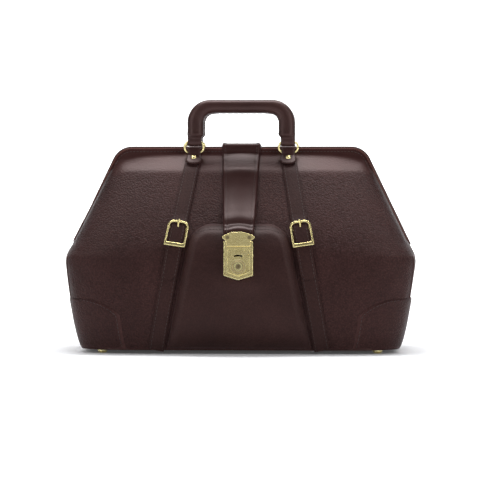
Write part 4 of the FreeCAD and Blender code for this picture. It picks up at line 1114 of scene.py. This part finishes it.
def chapes():
    anchor, up, out = chape_frame()
    for face, facing, side, sign in quarters():
        rings, edge = [], []
        for n in range(0, 31):
            down = 20.0 * n / 30
            share = down / 20.0
            width = 8.4 - 0.6 * exp(-((share - 0.2) / 0.14) ** 2)
            width += 1.1 * clamp((share - 0.3) / 0.35)
            if share > 0.72:
                width *= sqrt(max(1 - ((share - 0.72) / 0.285) ** 2, 0.02))
            lean = min(share / 0.34, 1)
            lean = lean * lean * (3 - 2 * lean)
            thick = 9.4 * (1 - lean) + 3.2 * lean
            if share > 0.97:
                thick *= 0.75
            foot = -4.6 * (1 - lean) - 1.9 * lean
            ring = []
            for a, b in bean(2 * width, thick, steps=24, crown=0.25):
                spot = anchor - up * down + out * (foot + b) + Vector((sign * HANDLE_X + a, 0, 0))
                ring.append(mirrored(spot, 1, facing))
            rings.append(ring)
            if share > 0.35 and width > 4:
                for edge_side in (-1, 1):
                    spot = (anchor - up * down + out * (foot + thick + 0.1)
                            + Vector((sign * HANDLE_X + edge_side * (width - 1.8), 0, 0)))
                    edge.append((edge_side, mirrored(spot, 1, facing)))
        middle = -facing * anchor.y
        cap = [[Vector((v.x, middle + (v.y - middle) * share, anchor.z + (v.z - anchor.z) * share + rise))
                for v in rings[0]] for rise, share in ((4.8, 0.2), (4.4, 0.45), (3.6, 0.7), (2.0, 0.9))]
        item = tube("chape_skin_%s_%s" % (face, side), cap + rings, SMOOTH)
        soft = item.modifiers.new("smooth", "SUBSURF")
        soft.levels = soft.render_levels = 1
        settled(item)
        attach(item, JAWS[face])
        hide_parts("chape_%s_%s" % (face, side))
        left = [p for s, p in edge if s < 0]
        right = [p for s, p in edge if s > 0]
        direction = mirrored(out, 1, facing)
        line = [(p, direction) for p in left + right[::-1]]
        sewn = stitches("chape_sewn_%s_%s" % (face, side), line, THREAD, pitch=2.9, length=2.1, radius=0.32)
        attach(sewn, JAWS[face])


# ---- rings, rivets and lock details

def ring_loops():
    half, drop, corner, wire = 11.6, RING_TOP - RING[2], 5.6, 1.3
    for face, facing, side, sign in quarters():
        loop = rounded_rectangle(half, drop / 2, corner, steps=8)
        rings = []
        for n, (x, z) in enumerate(loop):
            after, before = loop[(n + 1) % len(loop)], loop[n - 1]
            across = Vector((after[1] - before[1], 0, before[0] - after[0])).normalized()
            centre = Vector((sign * HANDLE_X + x, facing * -RING[1], RING[2] + drop / 2 + z))
            rings.append([centre + (across * cos(a) + Vector((0, sin(a), 0))) * wire
                          for a in circle(14)])
        item = tube("ring_loop_%s_%s" % (face, side), rings, BRASS, closed=True)
        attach(item, face + "_rings")
        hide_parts("ring_%s_%s" % (face, side))


def turned(name, centre, axis, profile, material, steps=28):
    """A round part turned on an axis: radii and heights from its foot to its top."""
    first = axis.cross(Vector((1, 0, 0))).normalized()
    second = axis.cross(first)
    rings = [[centre + axis * height + (first * cos(a) + second * sin(a)) * radius
              for a in circle(steps)] for radius, height in profile]
    return tube(name, rings, material)


def softened_metal():
    """Cast and pressed brass with its edges eased, from the CAD's own solids."""
    bodies = {"buckle_frame_left": "bag_body", "buckle_frame_right": "bag_body", "hasp_plate": "flap",
              "lock_face": "bag_body"}
    for node, body in bodies.items():
        item = bpy.data.objects.new("eased_" + node, frame["nodes"][node].data.copy())
        bpy.context.collection.objects.link(item)
        item.data.materials.clear()
        item.data.materials.append(BRASS)
        even = item.modifiers.new("even", "REMESH")
        even.mode, even.voxel_size, even.use_smooth_shade = "VOXEL", 0.34 * MM, True
        ease = item.modifiers.new("ease", "SMOOTH")
        ease.factor, ease.iterations = 0.5, 3
        settled(item)
        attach(item, body)
        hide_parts(node)


def rivet_domes():
    anchor, up, out = chape_frame()
    profile = ((3.1, -1.2), (3.2, 0.0), (3.15, 0.5), (2.75, 1.0), (2.0, 1.4), (1.1, 1.65), (0.3, 1.72))
    for face, facing, side, sign in quarters():
        spot = anchor - up * 10 + out * 1.5
        item = turned("rivet_dome_%s_%s" % (face, side),
                      Vector((sign * HANDLE_X, facing * -spot.y, spot.z)),
                      Vector((0, facing * -out.y, out.z)), profile, BRASS)
        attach(item, JAWS[face])
        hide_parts("chape_rivets_" + face)


def knob_step_shades():
    """Rings of painted shade at the foot of each of the knob's two upper steps."""
    place = Vector(joint_place("lock_knob_turn"))
    axis = Vector(JOINTS["lock_knob_turn"]["axis"]).normalized()
    top_radius = 5.3
    front = node_box("lock_knob")[0][1] + top_radius * axis.z
    top = place + axis * ((place.y - front) / -axis.y)
    for number, radius, drop in ((1, 7.75, 1.65), (2, 5.4, 0.75)):
        # Each ring is dark brass that stands in for the shade at the foot of a step.
        shade_profile = ((radius - 0.5, -0.1), (radius + 1.0, -0.1), (radius + 0.9, 0.2), (radius, 0.45),
                  (radius - 0.5, 0.3))
        item = turned("knob_step_shade_%d" % number, top - axis * drop, axis, shade_profile, DARK_AND_SHADE_BRASS)
        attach(item, "lock_knob")


# ---- light, floor and camera

def studio():
    material, tree, shader = node_material("paper_floor")
    place = add(tree, "ShaderNodeTexCoord").outputs["Object"]
    tooth = add(tree, "ShaderNodeTexNoise", Scale=400.0, Detail=2.0, at=place)
    tree.links.new(ramp(tree, tooth.outputs["Fac"], 0.3, 0.7, (0.88, 0.89, 0.91), (0.92, 0.925, 0.94)),
                   shader.inputs["Base Color"])
    shader.inputs["Roughness"].default_value = 0.8
    shader.inputs["Specular IOR Level"].default_value = 0.1
    shader.inputs["Emission Color"].default_value = (1.0, 1.0, 1.0, 1.0)
    # Painted light: the floor glows, faintly near the bag and more strongly farther off, so the far floor
    # stays white and the bag's shadow stays visible.
    away = add(tree, "ShaderNodeVectorMath", operation="LENGTH")
    tree.links.new(place, away.inputs[0])
    tree.links.new(spread(tree, away.outputs["Value"], 0.25, 1.0, 0.05, 0.62),
                   shader.inputs["Emission Strength"])
    vertices, faces = [], []
    profile = [(-6000, 0), (0, 0), (4200, 0)]
    profile += [(4200 + 1500 * sin(a), 1500 - 1500 * cos(a)) for a in
                (pi / 2 * n / 12 for n in range(1, 13))] + [(5700, 7000)]
    for y, z in profile:
        vertices += [(-7000, y, z), (7000, y, z)]
    for n in range(len(profile) - 1):
        faces.append((2 * n, 2 * n + 1, 2 * n + 3, 2 * n + 2))
    floor = finish_mesh("studio_floor", vertices, faces, material, (0, -1, 1))

    world = bpy.data.worlds.new("studio")
    world.use_nodes = True
    world.node_tree.nodes["Background"].inputs["Color"].default_value = (1, 1, 1, 1)
    world.node_tree.nodes["Background"].inputs["Strength"].default_value = 0.12
    bpy.context.scene.world = world
    bpy.context.scene.view_settings.view_transform = "Standard"

    def lamp(name, place, target, size, power, size_y=None):
        light = bpy.data.lights.new(name, "AREA")
        light.shape = "RECTANGLE"
        light.size, light.size_y = size, size_y or size
        light.energy = power
        item = bpy.data.objects.new(name, light)
        item.location = place
        item.rotation_euler = (Vector(target) - Vector(place)).to_track_quat("-Z", "Y").to_euler()
        bpy.context.collection.objects.link(item)

    lamp("overhead", (0.0, 0.2, 1.5), (0, 0.0, 0.1), 1.5, 31, 0.5)
    lamp("front_card", (-0.3, -1.7, 0.86), (0, 0, 0.12), 0.8, 0.6, 0.4)
    lamp("backdrop", (0.0, 3.4, 3.4), (0, 5.6, 1.2), 6.0, 220, 1.2)
    lamp("left_strip", (-1.2, -0.9, 0.75), (-0.1, 0, 0.15), 0.35, 8, 1.3)
    lamp("right_strip", (1.2, -0.9, 0.75), (0.1, 0, 0.15), 0.35, 9, 1.3)

    camera = bpy.data.cameras.new("view")
    azimuth, elevation, distance = radians(2.1), radians(1.5), 3.0
    camera.sensor_width = 36.0
    camera.lens = 181.6875
    camera.clip_end = 50
    back = Vector((sin(azimuth) * cos(elevation), -cos(azimuth) * cos(elevation),
                   sin(elevation)))
    item = bpy.data.objects.new("view", camera)
    item.location = Vector((0, 0, 0.15)) + back * distance
    item.rotation_euler = (-back).to_track_quat("-Z", "Y").to_euler()
    camera.shift_x, camera.shift_y = -0.0035, -0.025125
    bpy.context.collection.objects.link(item)
    bpy.context.scene.camera = item


panels()
gussets()
rails()
base_skin()
corner_patches()
front_pocket()
straps()
flap()
handles()
chapes()
ring_loops()
softened_metal()
rivet_domes()
knob_step_shades()
studio()
